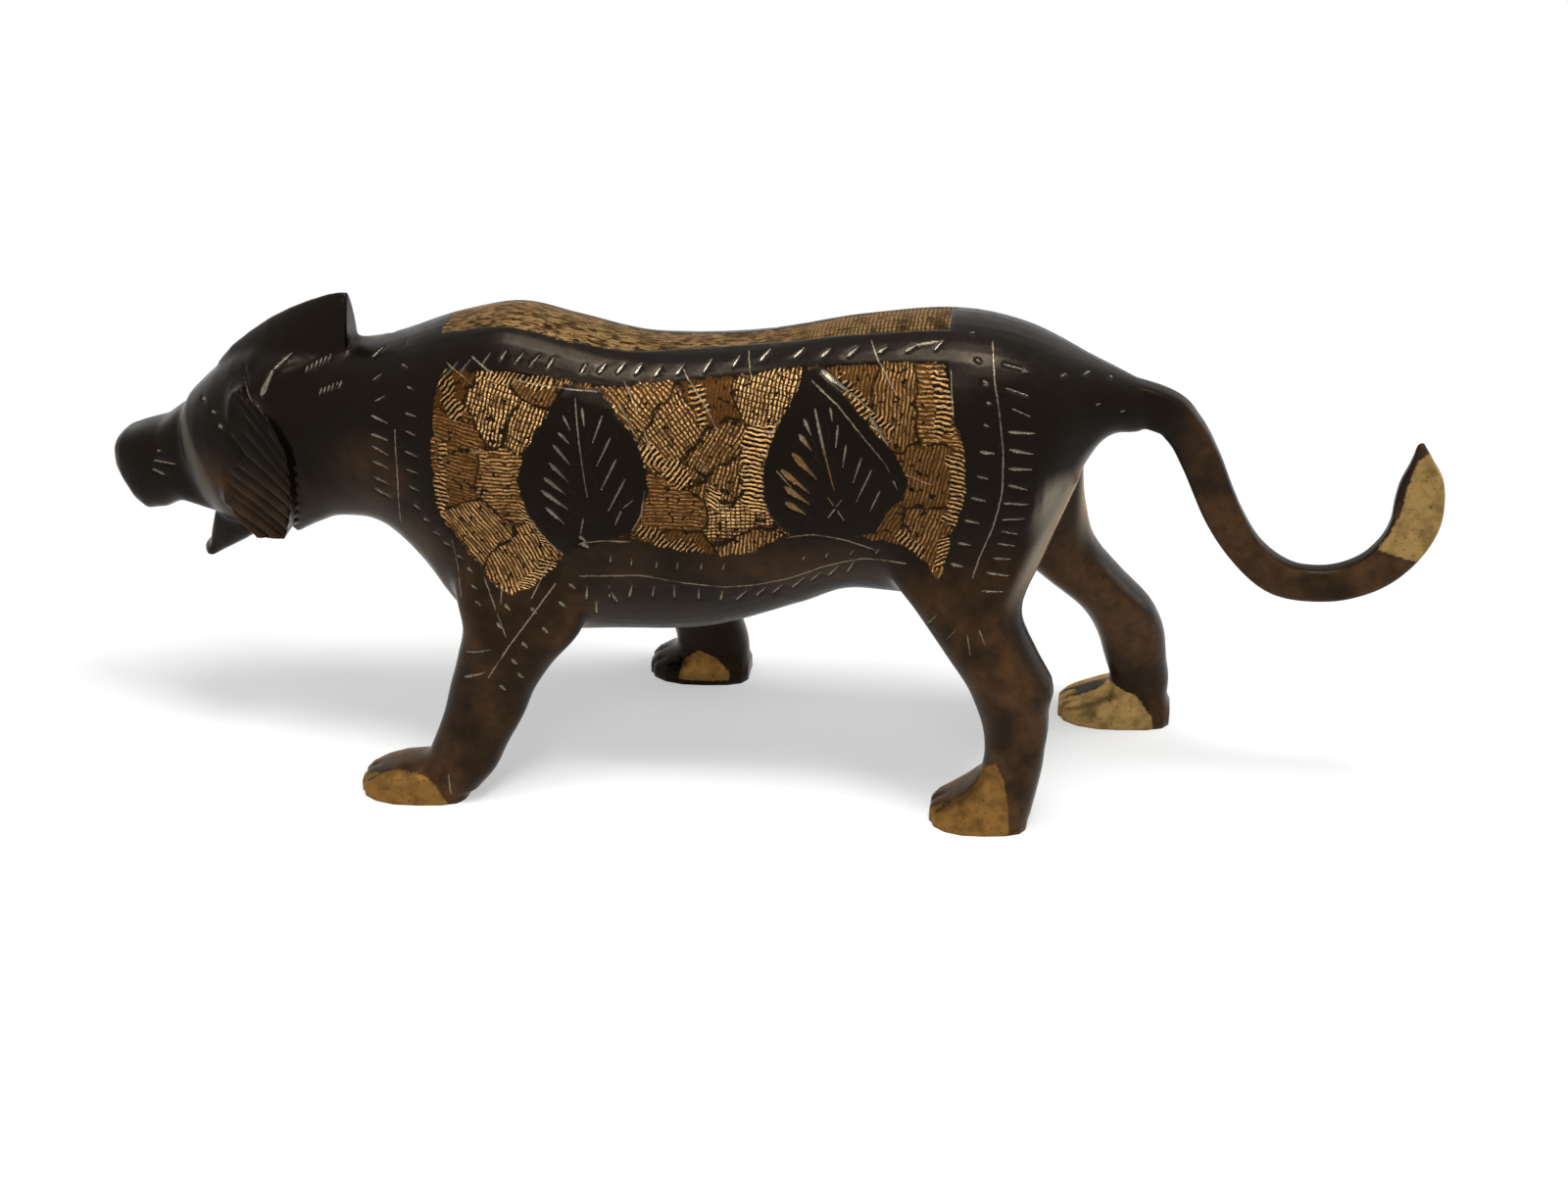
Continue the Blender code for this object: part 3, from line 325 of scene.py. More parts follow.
near_hind = [
    (76.0, hip + 8.0, 19.0, 0.40, 8.0), (60.0, hip + 3.0, 18.0, 0.54, 9.4),
    (47.0, hip + 6.4, 10.6, 0.76, 8.6), (38.0, hip + 12.0, 9.4, 0.87, 7.6),
    (32.5, hip + 15.5, 9.0, 0.92, 6.8), (28.0, NEAR_HIND_PAW + 5.8, 7.6, 0.95, 6.0),
    (23.0, NEAR_HIND_PAW + 6.7, 6.8, 0.97, 5.4), (16.7, NEAR_HIND_PAW + 6.8, 6.2, 1.0, 5.2),
    (11.0, NEAR_HIND_PAW + 6.1, 6.3, 1.0, 5.3), (2.0, NEAR_HIND_PAW + 4.7, 6.2, 1.0, 5.4)]
far_hind = [
    (76.0, hip + 9.0, 18.0, 0.40, 8.0), (58.0, hip + 13.5, 15.0, 0.55, 8.4),
    (47.0, hip + 21.6, 10.0, 0.68, 8.0), (39.2, hip + 28.6, 8.8, 0.76, 7.6),
    (31.0, FAR_HIND_PAW - 1.5, 8.0, 0.84, 6.8), (25.0, FAR_HIND_PAW + 1.6, 7.6, 0.90, 6.2),
    (16.0, FAR_HIND_PAW + 3.8, 6.9, 0.97, 5.6), (9.0, FAR_HIND_PAW + 5.2, 6.5, 1.0, 5.4),
    (2.0, FAR_HIND_PAW + 5.0, 6.4, 1.0, 5.4)]
for stations, stance in ((near_front, -FRONT_STANCE), (far_front, FRONT_STANCE),
                         (near_hind, -HIND_STANCE), (far_hind, HIND_STANCE)):
    heights = np.linspace(stations[0][0], stations[-1][0], 36)
    table = np.array(sorted(stations), float)
    x, depth, out, width = [curve_through(table[:, (0, column)], heights) for column in range(1, 5)]
    level_sections([(z, x[i], stance * out[i], depth[i], width[i]) for i, z in enumerate(heights)], 2.3)

paws = [
    (NEAR_FRONT_PAW, FRONT_PAW_LENGTH, -FRONT_STANCE, 1.8),
    (FAR_FRONT_PAW, FRONT_PAW_LENGTH, FRONT_STANCE, 1.0),
    (NEAR_HIND_PAW, NEAR_HIND_PAW_LENGTH, -HIND_STANCE, 7.0),
    (FAR_HIND_PAW, FAR_HIND_PAW_LENGTH, HIND_STANCE, 3.5)]
for place, length, out, rise in paws:
    sections = [(0.0, 0.42, PAW_HEIGHT * 0.45), (0.06, 0.68, PAW_HEIGHT * 0.66),
                (0.18, 0.90, PAW_HEIGHT * 0.84), (0.36, 1.0, PAW_HEIGHT + rise * 0.30),
                (0.58, 0.96, PAW_HEIGHT + rise), (0.80, 0.86, PAW_HEIGHT + rise * 0.9),
                (0.94, 0.70, PAW_HEIGHT), (1.0, 0.45, PAW_HEIGHT * 0.6)]
    upright_sections([(place - length / 2 + share * length, PAW_WIDTH / 2 * breadth, top, -6.0, 1.2)
                      for share, breadth, top in sections], 2.6, out)
print("with the legs:", len(clay_points), "points")

# %% [markdown]
# The tail is a squared bar, bent in the middle plane, that ends in a leaf-shaped tip. It is swept
# along a path, with its depth in that plane and its thickness across it.

# %% Model the tail
high = (TAIL_ROOT_TOP + TAIL_ROOT_UNDER) / 2
low = high - TAIL_DROP
end = root + TAIL_REACH
tail_path = [
    (root - 12.0, high + 3.0), (root + 3.6, high - 0.2), (root + 8.8, high - 4.2),
    (root + 12.8, high - 11.0), (root + 18.2, high - 22.7), (root + 23.8, high - 31.0),
    (root + 30.4, low + 1.3), (root + 37.2, low - 0.1), (root + 44.0, low + 0.9), (end - 5.6, low + 4.5),
    (end - 0.9, low + 10.8), (end + 0.9, low + 18.0), (end + 0.8, low + 24.6), (end + 0.2, low + 29.6),
    (end - 0.5, low + 33.2)]
bar, tip = TAIL_DEPTH / 2, TIP_WIDTH / 2
tail_depths = [
    bar * 1.3, bar * 1.16, bar * 1.06, bar * 1.05, bar * 1.02, bar * 0.96, bar * 1.03, bar * 0.99,
    bar * 1.02, bar * 1.10, tip * 0.92, tip * 1.0, tip * 0.86, tip * 0.42, tip * 0.12]
thick = TAIL_THICKNESS / 2
tail_sides = [
    thick * 1.5, thick * 1.35, thick * 1.2, thick * 1.1, thick, thick, thick, thick, thick, thick,
    thick * 0.95, thick * 0.85, thick * 0.75, thick * 0.6, thick * 0.3]
steps = np.arange(len(tail_path), dtype=float)
fine = np.linspace(0.0, steps[-1], 140)
tail_x, tail_z, tail_depth, tail_side = [
    curve_through(list(zip(steps, values)), fine)
    for values in ([p[0] for p in tail_path], [p[1] for p in tail_path], tail_depths, tail_sides)]
direction = np.gradient(np.stack([tail_x, tail_z], axis=1), axis=0)
direction /= np.linalg.norm(direction, axis=1)[:, None]
across, along = superellipse(4.2)
loft([[(tail_x[i] - dz * tail_depth[i] * a, tail_side[i] * b, tail_z[i] + dx * tail_depth[i] * a)
       for a, b in zip(across, along)] for i, (dx, dz) in enumerate(direction)])
print("whole clay:", len(clay_points), "points,", len(clay_faces), "faces")

# %% [markdown]
# The separate lofts still pass through each other. A voxel remesh wraps them in one skin, as the
# mould does. It leaves stair steps, which go with a few passes of smoothing that alternates in and
# out, so that nothing shrinks. Then only the hollow places are smoothed, many times: that fills the
# inner corners where a limb leaves the body, and keeps the crests sharp. The head gets only the first
# of these passes.

# %% Fuse the clay into one casting
VOXEL = 0.45
FIRST_PASSES, LAST_PASSES = 8, 4
SMOOTH_IN, SMOOTH_OUT = 0.5, 0.53
FILLET_PASSES, HEAD_FILLET_PASSES = 140, 30
FILLET_PULL = 0.6


def modified(thing, modifier_type, **settings):
    """Apply one modifier and return the mesh it makes."""
    modifier = thing.modifiers.new(modifier_type.title(), modifier_type)
    for name, value in settings.items():
        setattr(modifier, name, value)
    depsgraph = bpy.context.evaluated_depsgraph_get()
    made = bpy.data.meshes.new_from_object(thing.evaluated_get(depsgraph))
    thing.modifiers.remove(modifier)
    thing.data = made
    return made


def read_points(mesh, source="vertices", name="co"):
    """Positions or normals of a mesh as rows."""
    values = np.empty(len(getattr(mesh, source)) * 3)
    getattr(mesh, source).foreach_get(name, values)
    return values.reshape(-1, 3)


clay = bpy.data.meshes.new("leopard_casting")
clay.from_pydata([Vector(p) * MILLIMETRE for p in clay_points], [], clay_faces)
casting = bpy.data.objects.new("leopard_casting", clay)
bpy.context.scene.collection.objects.link(casting)
skin = modified(casting, "REMESH", mode="VOXEL", voxel_size=VOXEL * MILLIMETRE)
points = read_points(skin) / MILLIMETRE
edges = np.empty(len(skin.edges) * 2, int)
skin.edges.foreach_get("vertices", edges)
edge_a, edge_b = edges[0::2], edges[1::2]
degree = np.bincount(edges, minlength=len(points)).astype(float)
print("skin:", len(points), "points")


def towards_neighbours():
    """The step from each point to the middle of its neighbours."""
    total = np.stack([np.bincount(edge_a, points[edge_b, k], len(points))
                      + np.bincount(edge_b, points[edge_a, k], len(points)) for k in range(3)], axis=1)
    return total / degree[:, None] - points


def put_back():
    """Write the points to the mesh and return its normals."""
    skin.vertices.foreach_set("co", (points * MILLIMETRE).ravel())
    skin.update()
    return read_points(skin, name="normal")


for step in range(FIRST_PASSES):
    points += SMOOTH_IN * towards_neighbours()
    points -= SMOOTH_OUT * towards_neighbours()
on_body = np.clip((points[:, 0] - (cheek_back + 15.0)) / 6.0, 0.0, 1.0)
for step in range(FILLET_PASSES):
    if step % 20 == 0:
        normals = put_back()
    pull = towards_neighbours()
    hollow = np.einsum("ij,ij->i", pull, normals) > 0
    strength = FILLET_PULL if step < HEAD_FILLET_PASSES else FILLET_PULL * on_body
    points += np.where(hollow, strength, 0.0)[:, None] * pull
for step in range(LAST_PASSES):
    points += SMOOTH_IN * towards_neighbours()
    points -= SMOOTH_OUT * towards_neighbours()
normals = put_back()

# %% [markdown]
# The carving is described once, as distances. Seen from the side, each engraved field, leaf and
# stroke has an outline, and for any place the distance to that outline says how deep inside it lies.
# The same distances cut the metal here and colour it later, so colour and relief always agree.

# %% Distances for the ornament
def soft_step(values):
    values = np.clip(values, 0.0, 1.0)
    return values * values * (3.0 - 2.0 * values)


def away_from(places, start, finish):
    """How far each place, as (x, z), lies from one straight line, and how far along it."""
    start, finish = np.array(start, float), np.array(finish, float)
    run = finish - start
    share = np.clip((places - start) @ run / max(run @ run, 1e-9), 0.0, 1.0)
    return np.linalg.norm(places - start - share[:, None] * run, axis=1), share


def inside_outline(places, outline):
    """Depth inside a closed outline, negative outside it."""
    away = np.full(len(places), 1e9)
    inside = np.zeros(len(places), bool)
    for (x0, z0), (x1, z1) in zip(outline, outline[1:] + outline[:1]):
        away = np.minimum(away, away_from(places, (x0, z0), (x1, z1))[0])
        if z0 == z1:
            continue
        crosses = (places[:, 1] > min(z0, z1)) & (places[:, 1] <= max(z0, z1))
        inside ^= crosses & (places[:, 0] < x0 + (places[:, 1] - z0) * (x1 - x0) / (z1 - z0))
    return np.where(inside, away, -away)


# %% [markdown]
# Outlines on the flank, in millimetres of (x, z). The field is one engraved area between the dark
# band of the back and the belly, with a tongue over the shoulder. Two pointed leaves stand in it.

# %% Outlines of the field and the leaves
field_outline = [
    (-63.5, 88.5), (-62.0, 92.5), (-57.0, 92.8), (-49.0, 93.6), (-40.0, 92.6), (-33.0, 91.4), (-26.0, 91.1),
    (-16.0, 92.0), (-8.0, 93.1), (0.0, 94.2), (7.0, 95.7), (17.0, 97.6), (27.0, 99.1), (39.3, 100.3),
    (40.6, 95.8), (42.0, 90.7), (44.4, 83.2), (44.6, 77.0), (43.4, 70.4), (41.8, 63.4), (40.2, 57.2),
    (37.0, 60.0), (33.3, 62.6), (29.3, 63.9), (18.3, 63.8), (8.4, 63.4), (2.3, 58.9), (-3.7, 57.7),
    (-11.7, 58.6), (-18.7, 59.8), (-22.6, 61.4), (-27.9, 60.0), (-34.1, 58.8), (-37.0, 57.2), (-38.2, 54.2),
    (-41.4, 50.6), (-44.5, 48.4), (-48.2, 47.0), (-51.8, 48.4), (-55.5, 52.0), (-59.0, 56.5), (-62.5, 60.0),
    (-64.2, 66.0), (-64.6, 76.0)]
front_leaf = [
    (-36.7, 91.8), (-29.5, 90.6), (-26.8, 87.6), (-24.2, 84.9), (-21.0, 80.3), (-19.6, 76.0), (-19.3, 71.7),
    (-20.4, 66.7), (-22.6, 62.4), (-27.9, 60.2), (-34.1, 57.5), (-37.3, 56.0), (-40.0, 59.0), (-42.3, 61.9),
    (-44.4, 65.8), (-45.7, 69.4), (-45.9, 73.0), (-44.8, 76.9), (-42.4, 82.4), (-39.0, 87.6)]
rear_leaf = [
    (11.0, 96.6), (14.8, 97.2), (19.8, 93.4), (24.3, 88.9), (28.4, 85.1), (31.7, 81.2), (33.2, 77.7),
    (32.2, 73.5), (29.2, 70.2), (27.0, 64.8), (18.3, 62.6), (12.3, 62.6), (8.6, 64.0), (5.6, 67.4),
    (4.0, 72.3), (4.2, 76.8), (5.4, 82.6), (7.1, 87.6), (9.6, 91.5)]

# %% [markdown]
# A chiselled stroke is a wedge: it starts broad, where the graver bites, and runs out thin. A row of
# them follows a guide line at an even pace, with a little unevenness of the hand from a seeded draw.
# Each stroke is (broad end, thin end, half width of each end, depth).

# %% Rows of strokes
hand = np.random.default_rng(7)
strokes = []


def stroke(start, finish, broad=0.4, thin=0.12, depth=0.3):
    strokes.append((start, finish, broad, thin, depth))


def along_guide(guide, travel):
    """Where a guide line is after some travel, in mm."""
    guide = np.array(guide, float)
    steps = np.concatenate([[0.0], np.cumsum(np.linalg.norm(np.diff(guide, axis=0), axis=1))])
    return np.array([np.interp(travel, steps, guide[:, 0]), np.interp(travel, steps, guide[:, 1])]), steps[-1]


def row_of_strokes(guide, count, length, lean, broad=0.4, thin=0.12):
    """Strokes along a guide line. lean is the stroke's angle from +X, in degrees."""
    reach_of_guide = along_guide(guide, 0.0)[1]
    for travel in np.linspace(0.0, reach_of_guide, count):
        middle = along_guide(guide, travel + hand.uniform(-0.3, 0.3))[0]
        turn = np.radians(lean + hand.uniform(-9.0, 9.0))
        reach = np.array([np.cos(turn), np.sin(turn)]) * length * hand.uniform(0.38, 0.56)
        stroke(middle - reach, middle + reach, broad * hand.uniform(0.7, 1.1), thin)


row_of_strokes([(-77.9, 92.0), (-76.0, 85.0)], 3, 2.4, 30, 0.26)
row_of_strokes([(-76.0, 81.0), (-76.5, 64.0)], 6, 3.6, -16, 0.36)
row_of_strokes([(-72.5, 94.5), (-69.4, 88.0)], 3, 1.2, -20, 0.30)
row_of_strokes([(-69.0, 83.0), (-69.1, 67.0)], 5, 2.2, -15, 0.32)
row_of_strokes([(-69.0, 63.0), (-65.0, 57.6), (-57.5, 50.5), (-55.4, 44.0)], 8, 1.4, -25, 0.34)
row_of_strokes([(43.7, 104.2), (48.3, 95.6), (48.0, 90.0)], 5, 0.9, -20, 0.32)
row_of_strokes([(48.5, 84.8), (47.5, 76.0), (45.9, 68.3), (43.6, 60.0)], 6, 2.4, -10, 0.42, 0.16)
row_of_strokes([(51.1, 103.3), (54.6, 92.0)], 4, 4.2, -22, 0.20)
row_of_strokes([(54.9, 88.4), (55.2, 82.8), (54.7, 73.6)], 5, 4.6, -14, 0.44, 0.14)
row_of_strokes([(54.4, 70.4), (53.2, 64.6), (51.0, 55.0)], 6, 3.8, -8, 0.28)
row_of_strokes([(-60.6, 92.4), (-57.6, 93.4)], 2, 3.8, 58, 0.30)
row_of_strokes([(-53.0, 95.4), (-49.3, 96.2), (-40.0, 95.0)], 5, 2.0, 52, 0.40)
row_of_strokes([(-33.6, 94.0), (-18.6, 93.4)], 5, 1.8, 50, 0.42)
row_of_strokes([(-14.2, 93.8), (-4.9, 95.2), (3.0, 97.0)], 4, 1.9, 48, 0.40)
row_of_strokes([(9.7, 98.2), (27.4, 100.9), (37.6, 102.4)], 6, 2.2, 30, 0.40)
row_of_strokes([(-33.1, 46.8), (-24.6, 47.8), (-14.6, 48.0), (-5.0, 46.8)], 7, 3.0, 80, 0.34)
row_of_strokes([(-1.2, 46.8), (7.5, 49.0), (15.0, 52.6), (22.0, 55.6)], 7, 3.4, 56, 0.32)
row_of_strokes([(-27.3, 55.9), (-16.4, 54.9), (-4.2, 54.7)], 6, 1.6, 82, 0.30)
row_of_strokes([(12.0, 57.6), (27.5, 60.6)], 4, 1.1, 60, 0.26)
row_of_strokes([(39.0, 48.4), (43.4, 46.2)], 2, 3.2, 52, 0.18)
row_of_strokes([(46.8, 44.3), (49.6, 46.2)], 2, 3.6, -74, 0.22)
for dot_x, dot_z in ((-49.0, 44.4), (-47.3, 33.4), (-45.1, 37.1), (-46.1, 30.2), (-49.8, 27.5), (-41.0, 40.1),
                     (-37.8, 45.0), (-35.8, 48.6), (-50.6, 40.6), (-43.4, 44.0)):
    stroke((dot_x - 0.5, dot_z + 0.4), (dot_x + 0.5, dot_z - 0.5), 0.45, 0.2)
stroke((-58.2, 33.3), (-52.5, 35.3), 0.26, 0.14)
# These two long strokes high on the neck are cut like the others and also stand for glints of light there:
# partly engraving, partly painted highlight.
stroke((-99.2, 88.6), (-96.2, 91.0), 0.30, 0.14)
stroke((-101.4, 84.0), (-99.4, 88.4), 0.75, 0.24)
stroke((-58.2, 28.6), (-53.5, 30.5), 0.30, 0.14)
# The two rows of short ticks on the neck are painted glints: cut and coloured like the dashes, they stand for
# small highlights on the lacquer.
GLINT_TICKS = 6
for tick in range(GLINT_TICKS):
    for tick_x, tick_z in ((-92.8, 88.0), (-89.6, 84.0)):
        low_end = (tick_x + 0.85 * tick, tick_z + 0.35 * tick)
        stroke((low_end[0] + 0.35, low_end[1] + 1.1), low_end, 0.34, 0.10)
stroke((14.9, 96.5), (20.6, 93.8), 0.62, 0.2)
stroke((20.6, 93.8), (26.0, 90.4), 0.34, 0.14)
stroke((25.0, 89.8), (28.9, 84.8), 0.55, 0.12)
stroke((-33.5, 60.7), (-32.5, 59.8), 0.55, 0.3)
stroke((-33.1, 59.2), (-31.9, 58.5), 0.6, 0.3)
stroke((-25.6, 88.4), (-20.6, 80.6), 0.26, 0.1)
row_of_strokes([(62.2, 97.1), (68.5, 96.0), (76.1, 93.5)], 4, 0.7, 0, 0.28)
row_of_strokes([(69.3, 91.2), (74.6, 88.8)], 2, 0.8, 0, 0.28)
stroke((-26.8, 44.6), (-28.4, 48.0), 0.34, 0.14)
stroke((-31.6, 40.8), (-31.2, 44.2), 0.36, 0.2)
print("strokes in rows:", len(strokes))

# %% [markdown]
# Each leaf has a midrib and veins that climb away from it. On the rear leaf the veins towards the
# head are broad wedges, cut down to bright metal. Each vein is (inner end, outer end, half width of
# its outer end).

# %% Veins of the leaves
VEIN_THIN, VEIN_DEPTH = 0.12, 0.35

for start, finish, broad in (
        ((-31.6, 70.0), (-34.4, 89.2), 0.22), ((-33.3, 61.5), (-32.6, 64.8), 0.24),
        ((-35.2, 83.6), (-36.6, 86.0), 0.34), ((-35.4, 81.0), (-37.4, 82.8), 0.42),
        ((-35.3, 76.9), (-38.4, 80.3), 0.50), ((-35.6, 73.0), (-39.2, 76.6), 0.55),
        ((-36.2, 70.2), (-40.3, 73.4), 0.60), ((-35.8, 66.9), (-41.0, 70.6), 0.62),
        ((-36.7, 63.5), (-40.2, 66.8), 0.55), ((-32.3, 84.4), (-32.9, 87.4), 0.40),
        ((-30.4, 81.4), (-28.8, 86.2), 0.30), ((-29.5, 76.8), (-27.0, 82.1), 0.34),
        ((-28.6, 71.9), (-25.7, 78.0), 0.34), ((-27.2, 67.3), (-23.9, 74.0), 0.34),
        ((-25.9, 64.2), (-24.6, 67.6), 0.24), ((-24.6, 67.6), (-22.4, 69.6), 0.22),
        ((18.4, 74.4), (14.1, 90.1), 0.42), ((13.4, 85.4), (12.0, 88.0), 0.55),
        ((13.6, 82.4), (11.2, 85.0), 0.75), ((14.8, 76.4), (10.0, 81.2), 0.95),
        ((13.4, 73.2), (7.8, 77.6), 0.85), ((13.3, 70.8), (8.5, 74.0), 0.90),
        ((12.6, 68.4), (8.8, 70.6), 0.90), ((17.6, 88.6), (17.1, 90.6), 0.40),
        ((18.6, 83.5), (18.8, 87.5), 0.32), ((20.1, 79.5), (20.6, 83.8), 0.28),
        ((22.3, 76.4), (23.7, 81.4), 0.30), ((23.0, 72.1), (25.8, 79.1), 0.32),
        ((25.8, 70.2), (27.6, 74.8), 0.26), ((17.2, 72.4), (20.4, 67.6), 0.20),
        ((19.9, 72.0), (17.4, 68.0), 0.20)):
    stroke(finish, start, broad, VEIN_THIN, VEIN_DEPTH)
print("strokes in all:", len(strokes))

# %% [markdown]
# Combs fringe the engraved patches: short parallel cuts, side by side, that turn with the edge they
# follow. Each comb is (guide line, tooth length, lean of the teeth from +X in degrees).

# %% Combs along the patches
combs = [
    ([(-62.4, 92.0), (-60.8, 87.2), (-58.0, 84.4)], 4.2, 46),
    ([(-57.4, 78.8), (-50.6, 76.6), (-45.6, 71.8)], 4.0, -42),
    ([(-55.2, 92.4), (-46.0, 92.9), (-38.0, 90.8)], 2.6, 60), ([(-62.8, 78.4), (-63.0, 63.0)], 2.6, -4),
    ([(-44.4, 66.6), (-42.4, 61.6), (-40.0, 58.4)], 3.8, -16),
    ([(-39.6, 54.2), (-43.6, 50.0), (-47.4, 48.4)], 3.6, -8),
    ([(-20.2, 80.0), (-15.2, 76.4), (-11.0, 72.6)], 4.0, 52),
    ([(-9.6, 80.6), (-6.4, 74.2), (-6.0, 68.6)], 3.0, -34),
    ([(-21.6, 63.4), (-15.4, 60.2), (-8.0, 59.2)], 3.4, 56),
    ([(3.4, 86.4), (1.8, 78.0), (2.6, 68.6)], 5.0, -5), ([(3.0, 65.6), (6.6, 62.0)], 4.6, -46),
    ([(-3.0, 95.0), (8.6, 96.8)], 2.2, 66), ([(19.2, 95.6), (24.6, 90.2), (29.8, 86.4)], 2.8, 40),
    ([(23.8, 88.4), (34.4, 85.0)], 4.2, -34), ([(38.8, 99.0), (39.6, 92.6), (40.4, 86.6)], 4.0, -3),
    ([(42.6, 84.6), (43.2, 75.0), (42.0, 68.6)], 3.4, -14), ([(41.6, 67.8), (40.2, 59.6)], 2.8, 28),
    ([(31.4, 66.0), (36.8, 61.2)], 2.6, 58), ([(-10.6, 92.2), (-8.2, 84.8)], 2.8, 14)]

# %% [markdown]
# Some lines are scribed too finely for the mesh, so they only colour it. Long ones run over the neck,
# the haunch and the belly, and short ones are slips of the graver.

# %% Scribed lines
scribed_lines = [
    [(-72.5, 80.0), (-72.6, 68.0), (-73.4, 57.0)],
    [(48.0, 103.0), (49.1, 97.4), (50.4, 92.5), (51.7, 84.4), (51.9, 76.0), (50.4, 68.7), (48.1, 62.0),
     (46.8, 57.5)],
    [(-34.2, 51.1), (-21.2, 52.3), (-12.4, 50.5), (-4.5, 49.4), (2.0, 50.0), (9.1, 52.0), (16.2, 55.4),
     (24.2, 58.2), (33.4, 59.2)],
    [(-36.9, 57.0), (-33.0, 59.4), (-28.7, 60.2), (-22.6, 60.4)],
    [(8.4, 62.6), (14.0, 63.8), (20.0, 63.0), (27.0, 61.0)], [(-54.3, 50.0), (-48.3, 36.8)],
    [(-38.9, 49.6), (-48.3, 36.8), (-53.3, 28.9)], [(-40.1, 54.5), (-44.4, 45.4)],
    [(-50.2, 49.8), (-50.4, 45.0)], [(-61.8, 7.4), (-61.4, 2.4)], [(-61.4, 58.0), (-59.6, 44.0)],
    [(-62.0, 93.8), (-55.0, 90.2)], [(-56.8, 95.6), (-50.4, 92.6)],
    [(-47.0, 92.2), (-41.0, 91.2), (-30.0, 90.4)], [(-25.2, 92.2), (-21.4, 86.4), (-18.4, 79.6)],
    [(-13.4, 94.0), (-8.0, 88.4), (-5.0, 83.6)], [(-1.6, 99.0), (0.8, 93.6)], [(23.8, 102.0), (30.6, 93.8)],
    [(12.6, 95.2), (18.6, 91.4), (24.8, 85.0), (28.8, 80.8), (31.4, 75.4)], [(32.6, 79.2), (41.0, 76.6)],
    [(-19.8, 72.0), (-20.6, 66.6), (-22.6, 62.8)], [(-44.6, 64.6), (-40.6, 59.4), (-37.0, 56.2)],
    [(4.6, 83.6), (7.0, 87.4)], [(40.4, 99.6), (41.6, 91.0)], [(6.0, 78.4), (10.0, 74.0)],
    [(-53.6, 66.0), (-49.0, 59.0)], [(-6.4, 72.0), (-2.0, 64.4)], [(37.6, 103.0), (32.6, 102.0)]]

# %% [markdown]
# Now the distances are read for every point. Only what faces sideways is carved, so a soft mask
# follows how far the surface turns outwards. Each point also keeps its nearest mark: how far across
# and along it the point lies, with its number, and the mark's own half length and half widths. The
# distances run evenly over the surface and the rest is the same all over a mark, so a thin mark stays
# crisp between the points of the mesh when the finish works out its shape.

# %% Read the ornament at every point
BAND_HALF_WIDTHS = [
    (-64.0, 5.6), (-56.0, 6.6), (-40.0, 7.0), (-28.0, 6.0), (-15.0, 4.0), (-2.0, 3.2), (12.0, 4.3),
    (26.0, 5.5), (39.5, 5.8)]
SPINE_FRONT, SPINE_BACK = -64.0, 39.5
TOE_SHARES = (-0.25, 0.0, 0.25)
COMB_PITCH = 0.95
LINE_HALF_WIDTH = 0.13
OUTWARD_LEAST = 0.25
FIELD_MIDDLE, FIELD_REACH, FIELD_LOWEST = -10.0, 62.0, 44.0
CARVED_REACH, CARVED_LOWEST = 104.0, 30.0
STROKE_REACH = 12.0
DISTANCE_LIMIT = 5.0


def limited(distances):
    """Distances, held to the few millimetres on each side of an outline that are used."""
    return np.clip(distances, -DISTANCE_LIMIT, DISTANCE_LIMIT)


def ornament(points, normals):
    """The field, the leaves, the stripe and the depth of the strokes at every point, in millimetres."""
    x, y, z = points.T
    places = points[:, (0, 2)]
    outward = np.sign(y) * normals[:, 1]
    found = {"sideways": soft_step((outward - 0.12) / 0.2)}
    near_field = (np.abs(x - FIELD_MIDDLE) < FIELD_REACH) & (z > FIELD_LOWEST) & (outward > 0)
    field = np.full(len(points), -DISTANCE_LIMIT)
    leaf = np.full(len(points), -DISTANCE_LIMIT)
    field[near_field] = inside_outline(places[near_field], field_outline)
    leaf[near_field] = np.maximum(inside_outline(places[near_field], front_leaf),
                                  inside_outline(places[near_field], rear_leaf))
    found["leaf"] = limited(leaf)
    found["field"] = np.minimum(limited(field), -found["leaf"])
    band = np.minimum(curve_through(BAND_HALF_WIDTHS, x) - np.abs(y),
                      np.minimum(x - SPINE_FRONT, SPINE_BACK - x))
    found["spine"] = np.where(normals[:, 2] > 0.2, limited(band), -DISTANCE_LIMIT)
    depth = np.zeros(len(points))
    carved = np.flatnonzero((np.abs(x) < CARVED_REACH) & (z > CARVED_LOWEST) & (outward > 0))
    for start, finish, broad, thin, deep in strokes:
        close = carved[(np.abs(x[carved] - (start[0] + finish[0]) / 2) < STROKE_REACH)
                       & (np.abs(z[carved] - (start[1] + finish[1]) / 2) < STROKE_REACH)]
        away, share = away_from(places[close], start, finish)
        inside = thin + (broad - thin) * np.minimum(1.0, 0.25 + 3.0 * share) * (1.0 - share) - away
        depth[close] = np.maximum(depth[close], deep * soft_step(inside / 0.5 + 0.6))
    found["stroke_depth"] = depth
    return found


def facing_out(points, normals, lowest):
    """The numbers of the points that face sideways and stand higher than the lowest mark."""
    outward = np.sign(points[:, 1]) * normals[:, 1]
    return np.flatnonzero((outward > OUTWARD_LEAST) & (points[:, 2] > lowest))


